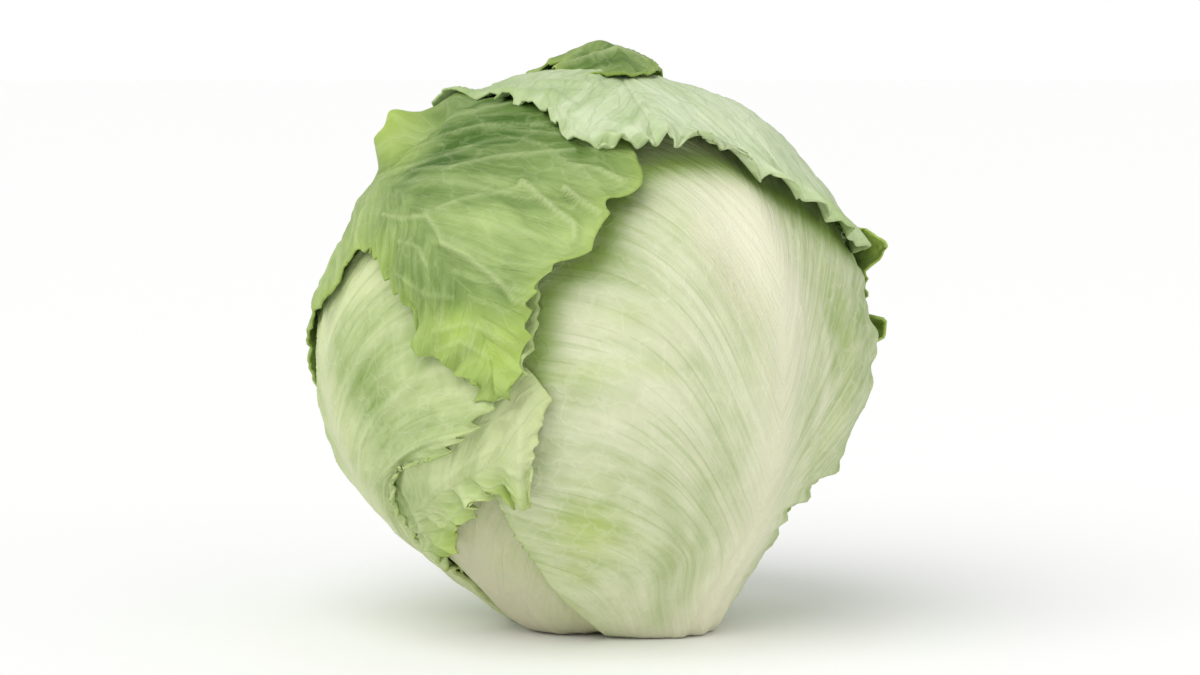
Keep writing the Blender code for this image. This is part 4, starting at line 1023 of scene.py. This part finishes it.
# the heart: cupped leaves round the bud
softEdge = {"lift": [(0, 0), (1, 0.001)], "wave": [(0, 0), (0.3, 0.0006), (1, 0.0012)], "waveSize": 0.014,
            "reach": 0.008, "teeth": [(0, 0), (0.3, 0.001), (1, 0.002)], "toothSize": 0.006}
heart = {
    "leaves": 8, "turn": 137.5, "sizeShare": 0.8438, "firstSeed": 20,
    "leaf": {
        "rails": {
            "midrib": [(0, 15, 0), (0, 50, 0), (0, 95, 0), (0, 135, 0), (0, 162, 0)],
            "left": [(-58, 15, 0), (-66, 40, 0), (-74, 80, 0), (-72, 115, 0), (-52, 150, 0)],
            "right": [(58, 15, 0), (66, 40, 0), (74, 80, 0), (72, 115, 0), (52, 150, 0)],
        },
        "cell": 0.0026, "thick": 0.0008, "footThick": 0.0018, "creamLength": 1.0,
        "left": softEdge, "right": softEdge, "tip": softEdge,
    },
}
heartRadius = headRadius * heart["sizeShare"]
heartStep = (heartRadius - budRadius) / heart["leaves"]
for i in range(heart["leaves"]):
    turn = i * heart["turn"]
    leaf = {**heart["leaf"], "turn": turn, "radius": heartRadius - i * heartStep, "seed": heart["firstSeed"] + i,
            "tones": [(turn, 30, 0.1), (turn, 100, 0.4), (turn, 150, 0.6)]}
    node = f"heart_leaf_{i + 1:02d}"
    place(growLeaf(node + "_look", leaf, leafMaterials["heartLeaf"]), node, "leaf_heart")
print("lettuce: heart grown")

# the bud: small leaves folded round one another, each margin lying over the next
bud = {"folds": 3, "twist": 1.5, "step": 0.075, "sizeShare": 0.975, "wrinkle": 0.012, "seed": 31,
       "columns": 144, "rows": 72}
turns, polars = np.meshgrid(np.linspace(0, 360, bud["columns"] + 1), np.linspace(0, 180, bud["rows"] + 1))
wrap = (turns + bud["twist"] * polars) / 360 * bud["folds"]
fold = wrap - np.floor(wrap)
over = smoothStep(fold / 0.9) * (1 - smoothStep((fold - 0.93) / 0.07)) * np.sin(np.radians(polars)) ** 0.7
wrinkle = bud["wrinkle"] * hills(turns / 360 * 14 * np.sin(np.radians(polars)), polars / 13, bud["seed"])
budWays = directionOf(turns, polars)
for grid in (budWays, over, wrinkle):  # the last column meets the first
    grid[:, -1] = grid[:, 0]
wrinkle[0], wrinkle[-1] = 0, 0
budSize = budRadius * (bud["sizeShare"] - bud["step"] * (1 - over) + wrinkle)
budPoints = leaned(budWays * budSize[..., None]) + headCentre
budMask = np.stack([0.3 + 0.4 * polars / 180, np.clip(1 - polars / 60, 0, 1), over ** 6, over * 0], axis=-1)
budMaps = {"leaf": (np.radians(turns) * budRadius, np.radians(polars) * budRadius),
           "swept": (np.radians(turns) * budRadius, np.radians(polars - 0.3 * turns) * budRadius)}
budPiece = buildPiece("heart_bud_look", budPoints, budMaps, {"leafMask": budMask, "leafTint": budMask * 0},
                      leafMaterials["heartLeaf"], closed=True)
place(budPiece, "heart_bud", "leaf_heart")

# the core: a ribbed cone with a rounded top, cut level
core = {
    "ribs": 21, "ribDepth": 0.0003, "cutDepth": 0.00022, "rimRounding": 0.0006,
    "columns": 144, "domeRows": 12, "sideRows": 48, "cutRows": 40,
    "side": (0.72, 0.70, 0.48, 1.0), "sideGreen": (0.56, 0.62, 0.33, 1.0), "pith": (0.66, 0.68, 0.45, 1.0),
    "flesh": (0.74, 0.71, 0.50, 1.0), "bundle": (0.46, 0.47, 0.21, 1.0), "rust": (0.40, 0.23, 0.09, 1.0),
    "bundleScale": 520.0, "bump": 0.5, "bumpDistance": 0.0005, "gloss": 0.35, "glow": 0.10,
    "glowRadius": (1.0, 0.9, 0.45), "glowScale": 0.003,
}
coreLow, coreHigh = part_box("cut_stem")
cutAway = float(np.linalg.norm(headCentre))  # from the head's centre to the cut, along its axis
coreRadius = (coreHigh[1] - coreLow[1]) / 2
coreTall = cutAway - (headCentre[2] - coreHigh[2]) / math.cos(leanAngle)
coreTip = coreRadius * (1 - coreTall / cutAway)
waistHeight = coreTall - coreTip
coreWaist = coreRadius * (1 - waistHeight / cutAway)
sweep = np.radians(np.linspace(0, 360, core["columns"] + 1))
circle = np.stack([np.sin(sweep), -np.cos(sweep)], axis=-1)
ribbing = np.abs(np.sin(sweep * core["ribs"] / 2)) ** 0.6
rimWays = directionOf(np.degrees(sweep), np.full(sweep.shape, math.degrees(math.atan(coreRadius / cutAway))))
rimPoints = leaned(rimWays * cutDistance(rimWays)[:, None]) + headCentre
for grid in (circle, ribbing, rimPoints):
    grid[-1] = grid[0]
rimMiddle = rimPoints.mean(axis=0)
coreRings = []  # points, whether they are on the cut, share of the way from the middle, and two flat measures


def coreCircle(radius, height):
    return leaned(np.column_stack([circle * radius, np.full(len(sweep), height - cutAway)])) + headCentre


waistPoints = coreCircle(coreWaist, waistHeight)
for i in range(core["domeRows"] + 1):
    angle = math.pi / 2 * i / core["domeRows"]
    dome = coreCircle(coreWaist * math.sin(angle), waistHeight + coreTip * math.cos(angle))
    down = np.full(len(sweep), coreTall + coreTip * (1 - i / core["domeRows"]))
    coreRings.append((dome, 0.0, math.sin(angle), sweep * coreRadius, down))
for i in range(1, core["sideRows"] + 1):
    share = i / core["sideRows"]
    rows = waistPoints + (rimPoints - waistPoints) * share
    pinch = core["ribDepth"] * (1 - ribbing) * math.sin(math.pi * min(1.0, share * 1.1))
    pinch = pinch + core["rimRounding"] * share ** 40
    wobble = core["ribDepth"] * (0.5 + 0.5 * hills(np.cos(sweep) * 2 + 5, np.sin(sweep) * 2 + share * 9, 41))
    inward = (rows - rimMiddle) * [1, 1, 0]
    inward = inward / np.linalg.norm(inward, axis=1, keepdims=True)
    rows = rows - inward * (pinch + wobble * (1 - share))[:, None]
    if share == 1:
        rows[:, 2] = groundGap + core["rimRounding"] * 0.4
    coreRings.append((rows, 0.0, 1.0, sweep * coreRadius, np.full(len(sweep), coreTall * (1 - share))))
rim = coreRings[-1][0]
for i in range(1, core["cutRows"] + 1):
    share = 1 - i / core["cutRows"]
    rows = rimMiddle + (rim - rimMiddle) * min(share + 0.012, share * 1.012)
    flatX, flatY = (rows - rimMiddle)[:, 0], (rows - rimMiddle)[:, 1]
    marks = 0.5 + 0.5 * hills(flatX / 0.0011, flatY / 0.006, 43)
    rows[:, 2] = groundGap + (core["cutDepth"] * marks * (1 - share ** 12) if share else core["cutDepth"] * 0.5)
    coreRings.append((rows, 1.0, share, flatX, flatY))
corePoints, onCut, cutShare, flatX, flatY = (np.array(column) for column in zip(*coreRings))
coreMask = np.ones((*corePoints.shape[:2], 4))
coreMask[..., 0], coreMask[..., 1] = onCut[:, None], cutShare[:, None]


def coreNodes(tree, look):
    cutFace, share, *_ = masksOf(tree, "coreMask")
    flat = uvOf(tree, "leaf")
    fibres = addNoise(tree, addScaled(tree, flat, (900.0, 60.0, 1.0)), 1.0, 4.0, 0.6)
    grain, blots = addNoise(tree, flat, 700.0, 4.0, 0.6), addNoise(tree, flat, 160.0, 4.0, 0.6)
    dots = addVoronoi(tree, flat, look["bundleScale"])
    ringPart = times(tree, addWindow(tree, share, 0.42, 0.55), addWindow(tree, share, 0.86, 0.74))
    bundles = times(tree, addWindow(tree, dots, 0.42, 0.18), ringPart)
    side = addMix(tree, fibres, look["side"], look["sideGreen"])
    cut = addMix(tree, addWindow(tree, share, 0.30, 0.62), look["pith"], look["flesh"])
    cut = addMix(tree, times(tree, grain, 0.35), cut, look["flesh"])
    cut = addMix(tree, times(tree, bundles, 0.75), cut, look["bundle"])
    rust = times(tree, addWindow(tree, share, 0.60, 1.0), addWindow(tree, blots, 0.35, 0.62))
    stain = times(tree, addWindow(tree, blots, 0.50, 0.72), 0.5)
    cut = addMix(tree, addMath(tree, "MAXIMUM", rust, stain), cut, look["rust"])
    rough = plus(tree, times(tree, grain, 0.25), times(tree, blots, 0.2))
    height = addMix(tree, cutFace, fibres, plus(tree, times(tree, bundles, 0.6), grain))
    return addMix(tree, cutFace, side, cut), plus(tree, rough, 0.25), height


corePiece = buildPiece("cut_stem_look", corePoints, {"leaf": (flatX, flatY)}, {"coreMask": coreMask},
                       newMaterial("cutCore", coreNodes, core), closed=True)
place(corePiece, "cut_stem", "stem_cream")
print("lettuce: bud and core made")

# floor, light and camera
studio = {
    "floorSize": 30.0, "floorColour": (0.95, 0.95, 0.945, 1.0), "floorDrop": 0.0002, "roomLight": 0.66, "backdrop": 1.0,
    "sunFrom": (-0.45, -0.62, 0.95), "sunPower": 1.65, "sunSpread": 60.0,
    "fillPlace": (0.9, -0.9, 0.45), "fillSize": 1.0, "fillPower": 1.4,
    "lens": 100.0, "distance": 0.95, "elevation": 5.0, "shiftX": 0.002, "shiftZ": -0.0012,
}
middle = (cadLow + cadHigh) / 2


def setUp(name, data, spot, turn):
    thing = bpy.data.objects.new(name, data)
    thing.location, thing.rotation_euler = spot, turn.to_euler()
    bpy.context.scene.collection.objects.link(thing)
    return thing


sunData = bpy.data.lights.new("sunLight", "SUN")
sunData.energy, sunData.angle = studio["sunPower"], math.radians(studio["sunSpread"])
setUp("sunLight", sunData, (0, 0, 0), Vector(studio["sunFrom"]).to_track_quat("Z", "Y"))
fillData = bpy.data.lights.new("fillLight", "AREA")
fillData.shape, fillData.size, fillData.energy = "SQUARE", studio["fillSize"], studio["fillPower"]
setUp("fillLight", fillData, studio["fillPlace"], (middle - Vector(studio["fillPlace"])).to_track_quat("-Z", "Y"))

# the room lights softly, and looks plain white behind the head
world = bpy.data.worlds.new("studio")
bpy.context.scene.world = world
world.use_nodes = True
room = world.node_tree
softRoom, backdrop = room.nodes["Background"], room.nodes.new("ShaderNodeBackground")
for background, strength in ((softRoom, studio["roomLight"]), (backdrop, studio["backdrop"])):
    background.inputs["Color"].default_value = (1.0, 1.0, 1.0, 1.0)
    background.inputs["Strength"].default_value = strength
seen = addNode(room, "LightPath", {}, "Is Camera Ray")
mixed = addNode(room, "MixShader", {0: seen, 1: softRoom.outputs[0], 2: backdrop.outputs[0]})
feed(room, room.nodes["World Output"].inputs["Surface"], mixed)
bpy.context.scene.view_settings.view_transform = "Standard"

bpy.ops.mesh.primitive_plane_add(size=studio["floorSize"], location=(0, 0, cadLow.z - studio["floorDrop"]))
floor = bpy.context.object
floor.name = "floor"
floorMaterial = bpy.data.materials.new("floorPaper")
floorMaterial.use_nodes = True
floorShader = floorMaterial.node_tree.nodes["Principled BSDF"]
floorShader.inputs["Base Color"].default_value = studio["floorColour"]
floorShader.inputs["Roughness"].default_value = 0.8
floor.data.materials.append(floorMaterial)

aim = middle + Vector((studio["shiftX"], 0, studio["shiftZ"]))
aim.y = 0
rise = math.radians(studio["elevation"])
cameraData = bpy.data.cameras.new("camera")
cameraData.lens, cameraData.clip_start = studio["lens"], 0.05
cameraPlace = aim + Vector((0, -math.cos(rise), math.sin(rise))) * studio["distance"]
bpy.context.scene.camera = setUp("camera", cameraData, cameraPlace, (aim - cameraPlace).to_track_quat("-Z", "Y"))
print("lettuce: studio set")
